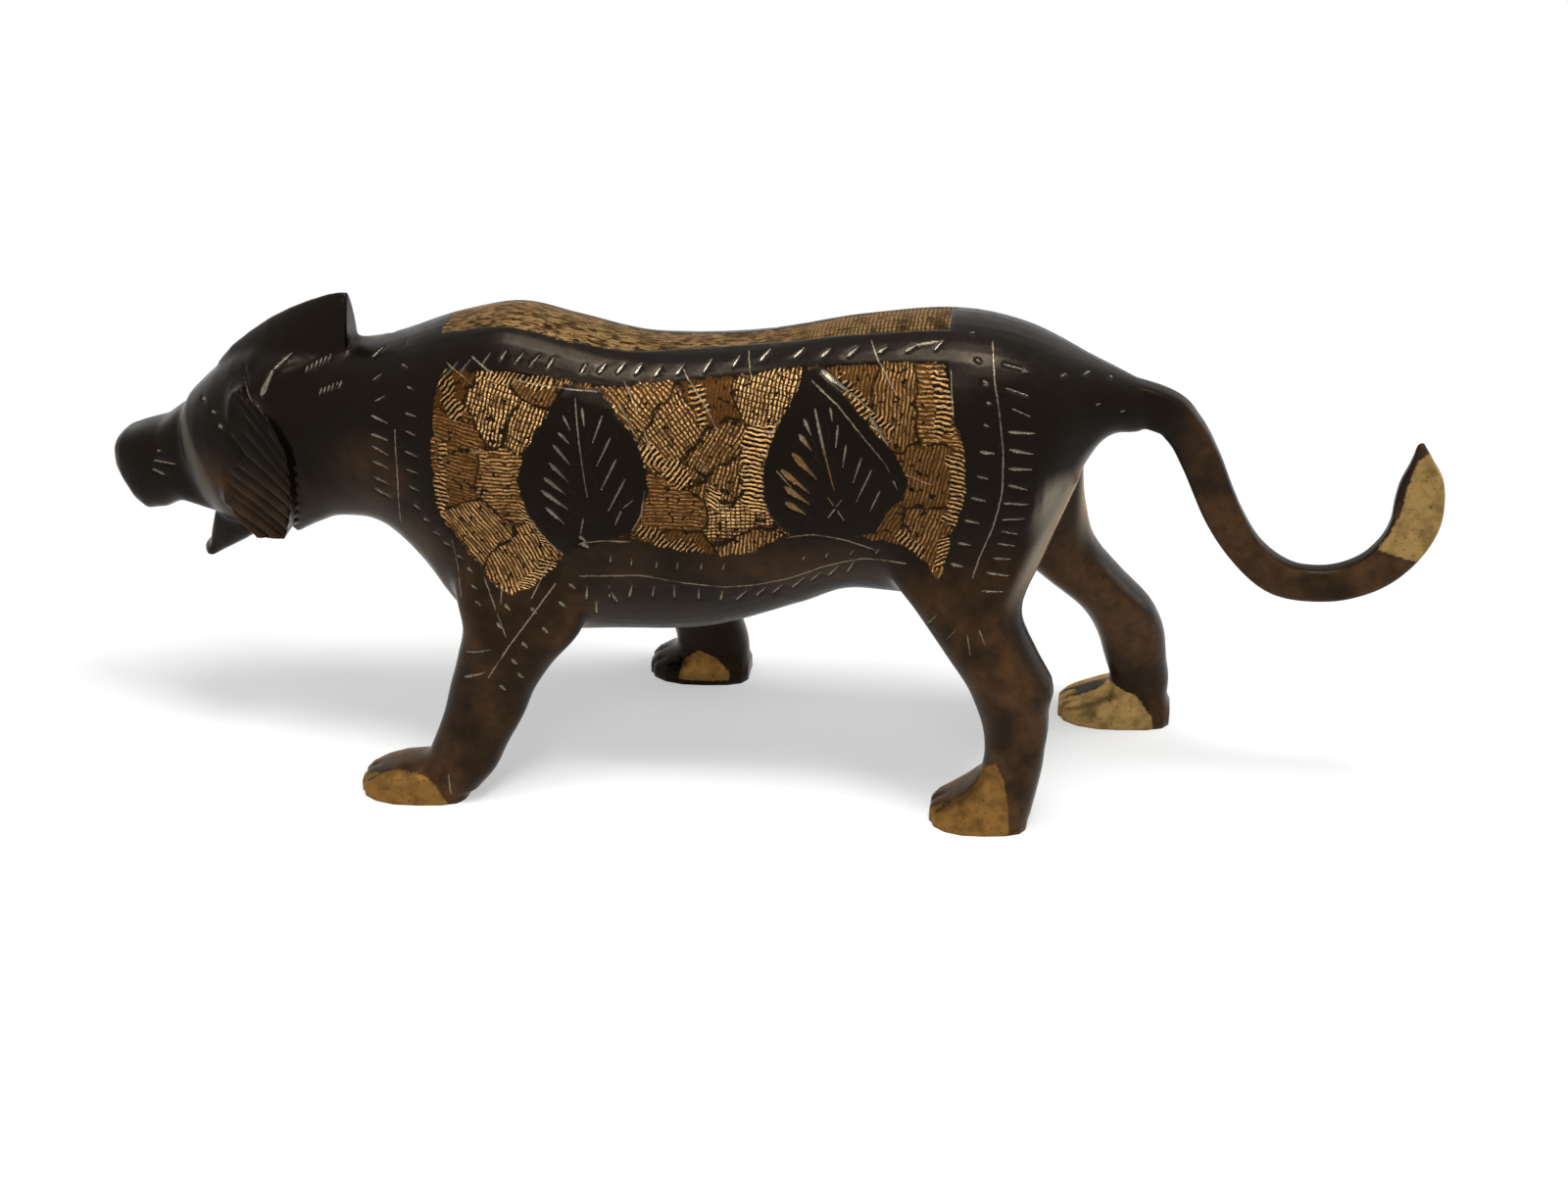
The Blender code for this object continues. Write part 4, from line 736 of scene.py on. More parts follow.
def marks_at(points, normals, marks, reach, lowest):
    """The nearest straight mark at each point, as (across, along, number) and (half length, broad, thin)."""
    places = points[:, (0, 2)]
    nearest = np.full(len(points), float(reach))
    position, form = np.zeros((len(points), 3)), np.zeros((len(points), 3))
    usable = facing_out(points, normals, lowest)
    for number, (start, finish, broad, thin) in enumerate(marks, start=1):
        start, finish = np.array(start, float), np.array(finish, float)
        middle_of_mark, run = (start + finish) / 2, finish - start
        half_length = max(np.linalg.norm(run) / 2, 0.05)
        run = run / (2 * half_length)
        close = usable[np.abs(places[usable] - middle_of_mark).max(axis=1) < half_length + reach]
        along = (places[close] - middle_of_mark) @ run
        across = (places[close] - middle_of_mark) @ np.array([-run[1], run[0]])
        away = np.hypot(across, np.maximum(np.abs(along) - half_length, 0.0))
        wins = away < nearest[close]
        chosen = close[wins]
        nearest[chosen] = away[wins]
        position[chosen] = np.stack([across[wins], along[wins], np.full(wins.sum(), float(number))], axis=1)
        form[chosen] = half_length, broad, thin
    return position, form


def lines_at(points, normals, lines, reach, lowest):
    """The nearest bent line at each point: (across, half width there, number)."""
    places = points[:, (0, 2)]
    nearest = np.full(len(points), float(reach))
    kept = np.zeros((len(points), 3))
    usable = facing_out(points, normals, lowest)
    for number, guide in enumerate(lines, start=1):
        guide = np.array(guide, float)
        low_corner, high_corner = guide.min(axis=0) - reach, guide.max(axis=0) + reach
        close = usable[((places[usable] > low_corner) & (places[usable] < high_corner)).all(axis=1)]
        for i in range(len(guide) - 1):
            run = guide[i + 1] - guide[i]
            length = np.linalg.norm(run)
            along = (places[close] - guide[i]) @ run / length
            across = (places[close] - guide[i]) @ np.array([-run[1], run[0]]) / length
            away = np.hypot(across, np.maximum(np.maximum(-along, along - length), 0.0))
            left_over = np.full(len(close), 99.0)
            if i == 0:
                left_over = np.minimum(left_over, along)
            if i == len(guide) - 2:
                left_over = np.minimum(left_over, length - along)
            wins = away < nearest[close]
            chosen = close[wins]
            nearest[chosen] = away[wins]
            width = np.minimum(LINE_HALF_WIDTH, left_over[wins])
            kept[chosen] = np.stack([across[wins], width, np.full(wins.sum(), float(number))], axis=1)
    return kept


def nearest_combs(points, normals):
    """The nearest comb at each point: (count of teeth along it, depth inside it, number)."""
    places = points[:, (0, 2)]
    best = np.full(len(points), -2.0)
    kept = np.zeros((len(points), 3))
    usable = facing_out(points, normals, FIELD_LOWEST)
    for number, (guide, length, lean) in enumerate(combs, start=1):
        guide = np.array(guide, float)
        tooth = np.array([np.cos(np.radians(lean)), np.sin(np.radians(lean))])
        travelled = 0.0
        for i in range(len(guide) - 1):
            run = guide[i + 1] - guide[i]
            reach_of_run = np.linalg.norm(run)
            directions = np.stack([run / reach_of_run, tooth], axis=1)
            travel, out = np.linalg.solve(directions, (places[usable] - guide[i]).T)
            past_ends = np.minimum(travel + 0.2, reach_of_run + 0.2 - travel)
            inside = np.minimum(length / 2 - np.abs(out), past_ends)
            wins = inside > best[usable]
            chosen = usable[wins]
            best[chosen] = inside[wins]
            kept[chosen] = np.stack([(travelled + travel[wins]) / COMB_PITCH, inside[wins],
                                     np.full(wins.sum(), float(number))], axis=1)
            travelled += reach_of_run
    return kept


found = ornament(points, normals)
print("points in the field:", int((found["field"] > 0).sum()))

# %% [markdown]
# Cutting is moving each point in along its normal. The ruff gets its fan of grooves, the eyes their
# three punches, the muzzle its whiskers, and each paw three grooves that part its toes.

# %% Carve
FIELD_DEPTH, SPINE_DEPTH, FUR_GROOVE, TOE_GROOVE, FACE_MARK_DEPTH = 0.35, 0.2, 1.0, 0.3, 0.4
FUR_SPACING = 0.85
HEAD_BACK = -100.0

fur = [
    ((-9.9, 10.2), (0.1, 2.9)), ((-10.3, 12.9), (1.7, 3.9)), ((-9.5, 15.3), (2.5, 6.7)),
    ((-7.9, 17.6), (3.2, 9.4)), ((-6.7, 21.4), (3.6, 12.2)), ((-5.5, 25.2), (3.7, 15.0)),
    ((-5.0, 29.3), (3.9, 17.7)), ((-5.5, 33.4), (3.5, 21.3)), ((-6.1, 37.8), (0.5, 27.9)),
    ((-10.6, 7.4), (-2.4, 1.6)), ((-9.0, 25.0), (-6.4, 20.0))]
face_marks = [
    ((-115.9, 80.4), (-115.3, 80.4), 0.34), ((-113.0, 78.9), (-112.4, 78.8), 0.34),
    ((-111.3, 76.4), (-110.7, 76.3), 0.40), ((-128.9, 64.5), (-124.3, 64.3), 0.20),
    ((-129.5, 62.4), (-127.3, 61.5), 0.26), ((-128.0, 66.8), (-127.6, 66.8), 0.24)]


def fur_grooves(points, normals):
    """How deep the grooves of the ruff are at every point, from 0 to 1."""
    places = points[:, (0, 2)]
    groove = np.zeros(len(points))
    outward = soft_step((np.sign(points[:, 1]) * normals[:, 1] - 0.1) / 0.2)
    on_cheek = outward * (np.abs(points[:, 1]) > wide * 0.4) * (points[:, 0] < cheek_back + 5.6)
    for (x0, z0), (x1, z1) in fur:
        away, share = away_from(places, (cheek_back + x0, ruff_foot + z0), (cheek_back + x1, ruff_foot + z1))
        low_down = 1.0 + 0.35 * soft_step((12.0 - z1) / 12.0)
        groove = np.maximum(groove, soft_step(1.0 - away / (FUR_SPACING * low_down)) * (0.25 + 0.75 * share))
    return groove * on_cheek


x, y, z = points.T
places = points[:, (0, 2)]
depth = FIELD_DEPTH * soft_step(found["field"] / 0.6 + 0.4) * found["sideways"]
depth = np.maximum(depth, SPINE_DEPTH * soft_step(found["spine"] / 0.6 + 0.4))
depth += found["stroke_depth"] * found["sideways"]
depth = np.maximum(depth, FUR_GROOVE * fur_grooves(points, normals))
face_cut = np.full(len(points), -2.0)
for start, finish, half_width in face_marks:
    face_cut = np.maximum(face_cut, half_width - away_from(places, start, finish)[0])
depth += (FACE_MARK_DEPTH * soft_step(face_cut / 0.4 + 0.6) * (x < HEAD_BACK)
          * soft_step(np.sign(y) * normals[:, 1] * 4))
for place, length, out, rise in paws:
    on_toes = soft_step((place - 0.28 * length - x) / 2.5) * soft_step((PAW_HEIGHT * 0.95 - z) / 2.0)
    on_toes = on_toes * (x > place - 0.7 * length) * (np.abs(y - out) < PAW_WIDTH)
    for share in TOE_SHARES:
        depth += TOE_GROOVE * soft_step(1.0 - np.abs(y - out - share * PAW_WIDTH) / 1.1) * on_toes
points -= normals * depth[:, None]
normals = put_back()

# %% [markdown]
# The soles are cut flat at the floor. The mesh is then thinned where it is plain, which keeps the
# triangles where the carving needs them, and it is fitted into the solid's box to a hair.

# %% Cut the soles and thin the mesh
MOST_TRIANGLES = 194000

shape = bmesh.new()
shape.from_mesh(skin)
cut_plane = bmesh.ops.bisect_plane(shape, geom=shape.verts[:] + shape.edges[:] + shape.faces[:],
                                   plane_co=(0, 0, 0), plane_no=(0, 0, 1), dist=1e-6, clear_inner=True)
rims = [piece for piece in cut_plane["geom_cut"] if isinstance(piece, bmesh.types.BMEdge)]
bmesh.ops.holes_fill(shape, edges=rims, sides=0)
bmesh.ops.triangulate(shape, faces=shape.faces[:])
shape.to_mesh(skin)
shape.free()
finished = modified(casting, "DECIMATE", ratio=min(1.0, MOST_TRIANGLES / len(skin.polygons)))
points = read_points(finished)
low_corner, high_corner = points.min(axis=0), points.max(axis=0)
middle_point = (low_corner + high_corner) / 2
middle_point[2] = low_corner[2]
shrink = np.minimum(1.0, (np.array(cad_high) - np.array(cad_low)) / (high_corner - low_corner))
points = (points - middle_point) * shrink
finished.vertices.foreach_set("co", points.ravel())
finished.update()
finished.shade_smooth()
print("triangles:", len(finished.polygons), " shrunk by:", np.round(shrink, 4))

# %% [markdown]
# The finish reads the same distances as attributes of the mesh. Gilt is where the lacquer is left off:
# a patch on each paw and the leaf-shaped tip of the tail.

# %% Give the distances to the finish
MARK_REACH, LINE_REACH = 2.4, 3.0

gilt_outlines = [
    ([(-84.0, -1.0), (-84.0, 3.6), (-79.5, 5.1), (-74.7, 6.6), (-67.8, 6.9), (-64.5, 5.1),
     (-61.6, -1.0)], -FRONT_STANCE),
    ([(39.0, -1.0), (39.6, 2.6), (41.7, 4.2), (47.4, 10.2), (53.6, 16.9), (55.6, 13.0), (56.8, 7.0),
     (57.4, -1.0)], -HIND_STANCE),
    ([(63.0, -1.0), (64.4, 2.2), (69.8, 6.4), (77.3, 10.0), (82.8, 8.4), (86.4, 3.6),
     (87.2, -1.0)], HIND_STANCE),
    ([(-22.2, 1.2), (-21.0, 5.6), (-17.2, 8.7), (-13.2, 7.0), (-10.2, 3.4), (-10.0, 1.2)], FRONT_STANCE),
    ([(127.9, 59.4), (136.5, 57.0), (142.0, 60.0), (142.0, 74.0), (138.4, 79.4), (135.0, 81.2),
     (133.3, 79.6), (132.0, 74.2), (131.3, 67.6), (129.7, 62.8)], 0.0)]
points = points / MILLIMETRE
normals = read_points(finished, name="normal")
found = ornament(points, normals)
x, y, z = points.T
places = points[:, (0, 2)]
gilt = np.full(len(points), -DISTANCE_LIMIT)
for outline, stance in gilt_outlines:
    near_it = np.flatnonzero(np.abs(y - stance) < PAW_WIDTH)
    gilt[near_it] = np.maximum(gilt[near_it], inside_outline(places[near_it], outline))
gilt = np.minimum(gilt, (np.abs(normals[:, 1]) - np.where(x > 60, 0.08, 0.25)) * 8.0)
marks = [(start, finish, broad, thin) for start, finish, broad, thin, deep in strokes]
marks += [(start, finish, half_width, half_width) for start, finish, half_width in face_marks]
bold, bold_form = marks_at(points, normals, marks, MARK_REACH, 1.0)
fine = lines_at(points, normals, scribed_lines, LINE_REACH, 1.0)
comb = nearest_combs(points, normals)
aside = (found["sideways"] - 1.0) * 4.0
for name, values in (("field", found["field"] + aside), ("leaf", found["leaf"]), ("spine", found["spine"]),
                     ("gilt", limited(gilt)), ("fur", fur_grooves(points, normals)),
                     ("bold", bold), ("bold_form", bold_form), ("fine", fine), ("comb", comb)):
    kind = "FLOAT" if values.ndim == 1 else "FLOAT_VECTOR"
    layer = finished.attributes.new(name, kind, "POINT")
    layer.data.foreach_set("value" if kind == "FLOAT" else "vector", values.astype(np.float32).ravel())
    print(name, "from", round(float(values.min()), 2), "to", round(float(values.max()), 2))

# %% [markdown]
# The finish is one material on one casting: lacquered cast brass. A colour is written as the sRGB hex
# value that a paint chart would give, and one function turns it to the linear numbers that Blender
# computes with. One more small function adds a node with its settings and links, and the others give
# short names to the few nodes that come again and again.

# %% Helpers for the finish
def linear(hex_colour):
    """An sRGB hex colour as linear red, green, blue and alpha."""
    channels = [int(hex_colour[i:i + 2], 16) / 255 for i in (1, 3, 5)]
    return [c / 12.92 if c <= 0.04045 else ((c + 0.055) / 1.055) ** 2.4 for c in channels] + [1.0]


finish = bpy.data.materials.new("Dark lacquer over hand-cut cast brass")
finish.use_nodes = True
tree = finish.node_tree
shader = tree.nodes["Principled BSDF"]


def put(kind, *links, out=0, **settings):
    """Add a node, set and link its inputs, each (socket, value or output), and return one of its outputs."""
    node = tree.nodes.new("ShaderNode" + kind)
    for name, value in settings.items():
        setattr(node, name, value)
    for socket, value in links:
        if isinstance(value, bpy.types.NodeSocket):
            tree.links.new(value, node.inputs[socket])
        else:
            node.inputs[socket].default_value = value
    return node.outputs[out]


def math(operation, *values):
    """One operation, carried through the values from the first to the last."""
    result = values[0]
    for value in values[1:] or (0.0,):
        result = put("Math", (0, result), (1, value), operation=operation)
    return result


def times(*values):
    return math("MULTIPLY", *values)


def plus(*values):
    return math("ADD", *values)


def vector(operation, *links, out=0):
    return put("VectorMath", *links, out=out, operation=operation)


def parts_of(vector_value):
    """The three numbers of a vector."""
    return put("SeparateXYZ", (0, vector_value)).node.outputs


def noise(where, scale, detail, roughness=0.5, out=0):
    return put("TexNoise", ("Vector", where), ("Scale", scale), ("Detail", detail),
               ("Roughness", roughness), out=out)


def ramp(value, low, high, new_low=0.0, new_high=1.0):
    """A value read over one range and given smoothly over another."""
    return put("MapRange", (0, value), (1, low), (2, high), (3, new_low), (4, new_high),
               interpolation_type="SMOOTHSTEP")


def between(share, first, second):
    """A mix of two plain values."""
    return put("Mix", (0, share), (2, first), (3, second))


def blend(share, first, second):
    """A mix of two colours."""
    return put("Mix", (0, share), (6, first), (7, second), out=2, data_type="RGBA")


# %% [markdown]
# Every pattern is measured in millimetres. The texture coordinate of the object is in metres, so it is
# scaled once. The hatching lies in the plane of the flank, which is x and z.

# %% Places on the surface, in millimetres
PATCH_WANDER = 6.0

place = vector("SCALE", (0, put("TexCoord", out=3)), (3, 1 / MILLIMETRE))
place_x, place_y, place_z = parts_of(place)
flank_place = put("CombineXYZ", (0, place_x), (1, place_z))
cloud = noise(place, 0.06, 3.0, 0.55)
mottle = noise(place, 0.28, 4.0, 0.62)
grit = noise(place, 1.5, 3.0, 0.6)
wander = vector("SUBTRACT", (0, noise(place, 0.16, 1.0, out=1)), (1, (0.5, 0.5, 0.5)))
wander = vector("SCALE", (0, wander), (3, PATCH_WANDER))
uneven_place = vector("ADD", (0, flank_place), (1, wander))


def away_on_flank(where, spot_x, spot_z):
    """How far a place on the flank lies from one spot."""
    return vector("DISTANCE", (0, where), (1, (spot_x, spot_z, 0.0)), out=1)


# %% [markdown]
# The engraver fills the field with patches, each about 11 mm across and hatched in its own direction,
# some of them crossed. Each patch is (x, z, direction in degrees, crossed, brightness). A place
# belongs to the patch whose middle is nearest, and the gap between the nearest and the second
# nearest distance is zero on the border between two patches.

# %% Patches of hatching
patches = [
    (-61.5, 90.0, 55, 0.0, 0.10), (-51.5, 87.0, 78, 1.0, 0.95), (-43.5, 84.0, 72, 1.0, 0.85),
    (-59.5, 81.0, -6, 0.2, 0.28), (-58.5, 71.5, -6, 0.5, 0.30), (-49.5, 71.0, 4, 0.4, 0.55),
    (-55.0, 60.0, -50, 0.0, 0.62), (-47.0, 53.0, -62, 0.0, 0.68), (-41.5, 92.0, 60, 0.0, 0.42),
    (-22.5, 90.0, -40, 0.8, 0.62), (-13.0, 84.0, -50, 0.9, 0.70), (-7.0, 91.0, 88, 0.0, 0.16),
    (-14.0, 66.5, 0, 0.5, 0.34), (-6.0, 80.0, 62, 0.9, 0.62), (2.0, 91.5, 83, 1.0, 0.95),
    (-3.0, 74.5, 80, 1.0, 0.66), (-2.0, 66.0, 2, 1.0, 0.78), (0.5, 60.0, 84, 0.3, 0.60),
    (21.5, 94.5, 84, 0.2, 0.30), (30.0, 92.5, 88, 0.4, 0.52), (38.5, 92.5, 2, 0.0, 0.42),
    (36.0, 78.0, 80, 0.2, 0.34), (37.0, 66.0, 72, 0.4, 0.44), (31.0, 64.0, 62, 0.0, 0.30),
    (-13.0, 59.5, 64, 0.0, 0.26)]
nearest, second = 999.0, 999.0
line_way, patch_facts = (1.0, 0.0, 0.0), (0.0, 0.0, 0.0)
for patch_x, patch_z, degrees, crossed, brightness in patches:
    away = away_on_flank(uneven_place, patch_x, patch_z)
    closer = math("LESS_THAN", away, nearest)
    turn = np.radians(degrees)
    way = (float(-np.sin(turn)), float(np.cos(turn)), 0.0)
    line_way = put("Mix", (0, closer), (4, line_way), (5, way), out=1, data_type="VECTOR")
    patch_facts = put("Mix", (0, closer), (4, patch_facts), (5, (crossed, brightness, 0.0)),
                      out=1, data_type="VECTOR")
    second = math("MINIMUM", second, math("MAXIMUM", away, nearest))
    nearest = math("MINIMUM", away, nearest)
border = math("SUBTRACT", second, nearest)
crossed, brightness = parts_of(patch_facts)[:2]
print("patches:", len(patches), " nodes so far:", len(tree.nodes))

# %% [markdown]
# A hatched line is a ridge of bright metal between two cuts. The distance across the lines, divided
# by their pitch, runs from 0 to 1 for each line, and a ping-pong folds it to a ridge. The graver's
# pitch is about 0.8 mm. Noise that is drawn out along the lines breaks them up and makes them wander.

# %% Hatch lines
HATCH_PITCH = 0.80
CROSS_PITCH = 1.00

wobble = times(mottle, 1.4)
across_lines = plus(vector("DOT_PRODUCT", (0, flank_place), (1, line_way), out=1), wobble)
cross_way = vector("CROSS_PRODUCT", (0, line_way), (1, (0.0, 0.0, 1.0)))
along_lines = vector("DOT_PRODUCT", (0, flank_place), (1, cross_way), out=1)
along_lines = math("SUBTRACT", along_lines, wobble)
drawn_out = put("CombineXYZ", (0, times(across_lines, 1.3)), (1, times(along_lines, 0.3)))
drawn_across = put("CombineXYZ", (0, times(across_lines, 0.3)), (1, times(along_lines, 1.1)))
broken, broken_cross = noise(drawn_out, 1.0, 2.0, 0.6), noise(drawn_across, 1.0, 2.0, 0.6)
ridge = ramp(math("PINGPONG", across_lines, HATCH_PITCH / 2), times(broken, 0.22), 0.30)
cross_ridge = ramp(math("PINGPONG", along_lines, CROSS_PITCH / 2), 0.03, times(broken_cross, 0.44))
cross_share = ramp(times(crossed, plus(broken_cross, mottle)), 0.30, 1.0)
gap_noise = times(math("SUBTRACT", broken_cross, 0.5), 3.2)
ridge = times(ridge, between(cross_share, 1.0, cross_ridge), ramp(broken, 0.36, 0.52, 0.20, 1.0),
              ramp(grit, 0.34, 0.48, 0.25, 1.0), ramp(plus(border, gap_noise), 0.1, 1.2))
brightness = times(brightness, brightness, ramp(mottle, 0.3, 0.66, 0.7, 1.7))

# %% [markdown]
# The stripe along the spine is hatched more closely, straight across the back, and is worn by
# handling. Only the part over the croup still shows clear lines.

# %% Hatching of the spine
SPINE_PITCH = 0.84
SPINE_CROSS_PITCH = 1.40

spine_ridge = ramp(math("PINGPONG", plus(place_x, wobble), SPINE_PITCH / 2), 0.04, 0.28)
spine_cross = math("PINGPONG", math("SUBTRACT", place_y, wobble), SPINE_CROSS_PITCH / 2)
spine_lines = times(spine_ridge, ramp(spine_cross, 0.04, 0.24), ramp(mottle, 0.32, 0.5))
streak_place = vector("MULTIPLY", (0, place), (1, (0.45, 1.6, 1.0)))
spine_worn = ramp(noise(streak_place, 0.9, 3.0), 0.40, 0.60)
spine_metal = between(ramp(place_x, 0.0, 24.0), spine_worn, spine_lines)
spine_metal = times(spine_metal, ramp(mottle, 0.34, 0.56, 0.35, 1.0))

# %% [markdown]
# The attributes become masks here. Each one is a distance in millimetres, so a mask's edge is as
# sharp as the range it is read over, and a little noise keeps the edges from looking machined. A mark
# only counts where its number is whole: between two marks the number is a mixture, and is left out.

# %% Masks
rough_edge = times(math("SUBTRACT", grit, 0.5), 1.1)
ragged = plus(rough_edge, times(math("SUBTRACT", mottle, 0.5), 2.6))


def one_number(name):
    return put("Attribute", out=2, attribute_name=name)


def three_numbers(name):
    return parts_of(put("Attribute", out=1, attribute_name=name))


def is_whole(number):
    whole = math("LESS_THAN", math("PINGPONG", number, 0.5), 0.02)
    return times(whole, math("GREATER_THAN", number, 0.5))


field = ramp(plus(one_number("field"), ragged), -0.1, 0.2)
spine = ramp(plus(one_number("spine"), ragged), -0.2, 0.5)
leaf = ramp(plus(one_number("leaf"), rough_edge), -0.1, 0.1)
gilt = ramp(plus(one_number("gilt"), rough_edge), -0.2, 0.3)
fur_groove = one_number("fur")

mark_across, mark_along, mark_number = three_numbers("bold")
half_length, broad, thin = three_numbers("bold_form")
share = plus(times(math("DIVIDE", mark_along, math("MAXIMUM", half_length, 0.05)), 0.5), 0.5)
taper = times(math("MINIMUM", plus(times(share, 3.0), 0.25), 1.0), math("SUBTRACT", 1.0, share))
mark_width = plus(thin, times(math("SUBTRACT", broad, thin), taper))
mark_across = math("ABSOLUTE", plus(mark_across, times(rough_edge, 0.3)))
past_end = math("SUBTRACT", plus(half_length, 0.2), math("ABSOLUTE", mark_along))
mark_inside = math("MINIMUM", math("SUBTRACT", mark_width, mark_across), past_end)
bold = times(ramp(mark_inside, -0.06, 0.12), is_whole(mark_number))

line_across, line_width, line_number = three_numbers("fine")
line_across = math("ABSOLUTE", plus(line_across, times(rough_edge, 0.4)))
fine = times(ramp(math("SUBTRACT", line_width, line_across), -0.08, 0.08), is_whole(line_number),
             ramp(mottle, 0.34, 0.56, 0.2, 1.0))

tooth_count, comb_depth, comb_number = three_numbers("comb")
comb_zone = plus(comb_depth, times(math("SUBTRACT", mottle, 0.50), 6.0))
comb_zone = times(ramp(comb_zone, -0.1, 0.15), is_whole(comb_number))
tooth = math("PINGPONG", plus(tooth_count, times(mottle, 2.2)), 0.5)
tooth = times(ramp(tooth, times(grit, 0.46), 0.36), ramp(grit, 0.34, 0.56, 0.3, 1.0))
field_metal = between(comb_zone, ridge, tooth)
field_light = between(comb_zone, brightness, plus(times(brightness, 0.6), 0.45))

# %% [markdown]
# Lacquer over brass is near black where it is thick, and a warm brown where it has run thin: on the
# legs, along the lower flanks and on the tail. The same warm brown in spots on the neck, the ruff and
# the cheek is a painted sheen, a highlight painted into the lacquer. Each of these regions is a soft
# share of height, length or distance, broken up by noise, and stronger on faces that look sideways.
# Under the belly the brown is held back, so the underside stays darker. A pale grey band along the
# edge of the face is a painted highlight, and so is the pale metal on the rear of each thigh.

# %% Colours of the lacquer
facing_x, facing_y = parts_of(put("TexCoord", out=1))[:2]
sideways = ramp(math("ABSOLUTE", facing_y), 0.40, 0.85, 0.12, 1.0)
sideways = math("MAXIMUM", sideways, ramp(place_z, 18.0, 11.0, 0.0, 0.8))
under_belly = times(ramp(place_z, 54.0, 48.0), ramp(math("ABSOLUTE", place_x), 38.0, 28.0), 0.8)
thin_low = times(ramp(place_z, 70.0, 40.0), ramp(place_x, -98.0, -84.0), math("SUBTRACT", 1.0, under_belly))
thin_coat_and_sheen = math("MAXIMUM", thin_low, ramp(place_x, 82.0, 96.0))
# The three spots, on the neck, the ruff and the cheek, are a painted highlight: warm brown sheen on the
# lacquer.
for spot_x, spot_z, reach, most in ((-79.0, 68.0, 12.0, 0.65), (-103.0, 58.0, 14.0, 0.60),
                                    (-113.0, 65.0, 7.0, 0.70)):
    away = away_on_flank(flank_place, spot_x, spot_z)
    thin_coat_and_sheen = math("MAXIMUM", thin_coat_and_sheen, ramp(away, reach, reach * 0.3, 0.0, most))
thin_coat_and_sheen = times(thin_coat_and_sheen, sideways, ramp(cloud, 0.36, 0.62, 0.25, 1.0), ramp(mottle, 0.2, 0.8, 0.35, 1.0))

# A pale grey band along the edge of the face, behind the muzzle, is a painted highlight.
FACE_EDGE_LEAN, FACE_EDGE_PLACE = 0.285, 99.5
face_edge_highlight = math("ABSOLUTE", plus(times(place_z, FACE_EDGE_LEAN), place_x, FACE_EDGE_PLACE))
face_edge_highlight = times(ramp(face_edge_highlight, ramp(place_z, 80.0, 62.0, 1.2, 3.4), 0.3),
                  ramp(cloud, 0.3, 0.6, 0.5, 0.9), ramp(place_z, 50.0, 56.0))
# The rear of each thigh, where it faces the tail, gets a painted highlight of pale metal.
rear_thigh_highlight = times(ramp(facing_x, 0.42, 0.70), ramp(place_z, 48.0, 60.0), ramp(place_z, 80.0, 74.0),
               ramp(place_x, 50.0, 54.0), ramp(math("ABSOLUTE", place_y), 7.0, 10.0))

# The warm brown carries the thin coat and the painted sheen spots, and the pale grey is the painted highlight
# along the face edge.
lacquer = blend(thin_coat_and_sheen, linear("#060403"), linear("#4f3722"))
lacquer = blend(leaf, lacquer, linear("#040201"))
lacquer = blend(face_edge_highlight, lacquer, linear("#4d483e"))
# The grooves of the ruff are painted near black, a painted shade against the painted sheen on its ridges.
lacquer = blend(times(fur_groove, 0.9), lacquer, linear("#040302"))

# %% [markdown]
# Brass reflects with its own colour, a yellow that goes brown as it tarnishes. The field's metal is
# brightest on the ridges of the bright patches. The dashes on the lacquer are dull, because lacquer
# has filled them again, but the wedges of the rear leaf are yellower. The gilt paws are a duller
# ochre. All metal keeps the default IOR.

# %% Colours of the brass
brass = blend(field_light, linear("#563410"), linear("#eebc7a"))
residue = blend(field_light, linear("#452b10"), linear("#2a190a"))
residue = blend(comb_zone, residue, linear("#150b04"))
pits = ramp(noise(place, 0.75, 2.0), 0.34, 0.42)
gap = times(pits, ramp(plus(border, gap_noise), 0.0, 0.8))
field_colour = blend(math("MAXIMUM", gap, comb_zone), linear("#190f06"), blend(field_metal, residue, brass))
spine_colour = blend(spine_metal, linear("#241709"), linear("#82663f"))
gilt_tone = times(ramp(mottle, 0.28, 0.62, 0.45, 1.0), ramp(grit, 0.30, 0.38, 0.15, 1.0))
gilt_bright = blend(ramp(place_x, 60.0, 64.0), linear("#805d30"), linear("#9a7d4c"))
gilt_colour = blend(gilt_tone, linear("#1f1408"), gilt_bright)
dash_light = times(ramp(grit, 0.3, 0.65, 0.45, 1.0), ramp(cloud, 0.3, 0.6, 0.6, 1.0))
wedge_zone = ramp(away_on_flank(flank_place, 11.5, 76.0), 9.0, 7.0)
dash_bright = blend(wedge_zone, linear("#857d6d"), linear("#84653e"))
dash_colour = blend(dash_light, linear("#2e2721"), dash_bright)

colour = lacquer
# The first layer, pale metal on the rear of the thighs, is the painted highlight; the others are the
# engraving and the gilt.
for mask, layer_colour in ((times(rear_thigh_highlight, 0.8), linear("#8b8275")), (field, field_colour),
                           (spine, spine_colour), (gilt, gilt_colour), (bold, dash_colour),
                           (times(fine, 0.7), linear("#968872"))):
    colour = blend(mask, colour, layer_colour)
tree.links.new(colour, shader.inputs["Base Color"])

# %% [markdown]
# Metal shows where any of those masks does. A thin coat lets some of the metal's tinted reflection
# through, so it counts as partly metal, and the painted sheen spots that share its mask count the same.
# The lacquer is glossy, with softer patches where it was rubbed. It has the usual IOR of a varnish,
# with a lower specular level because the old coat is dull.

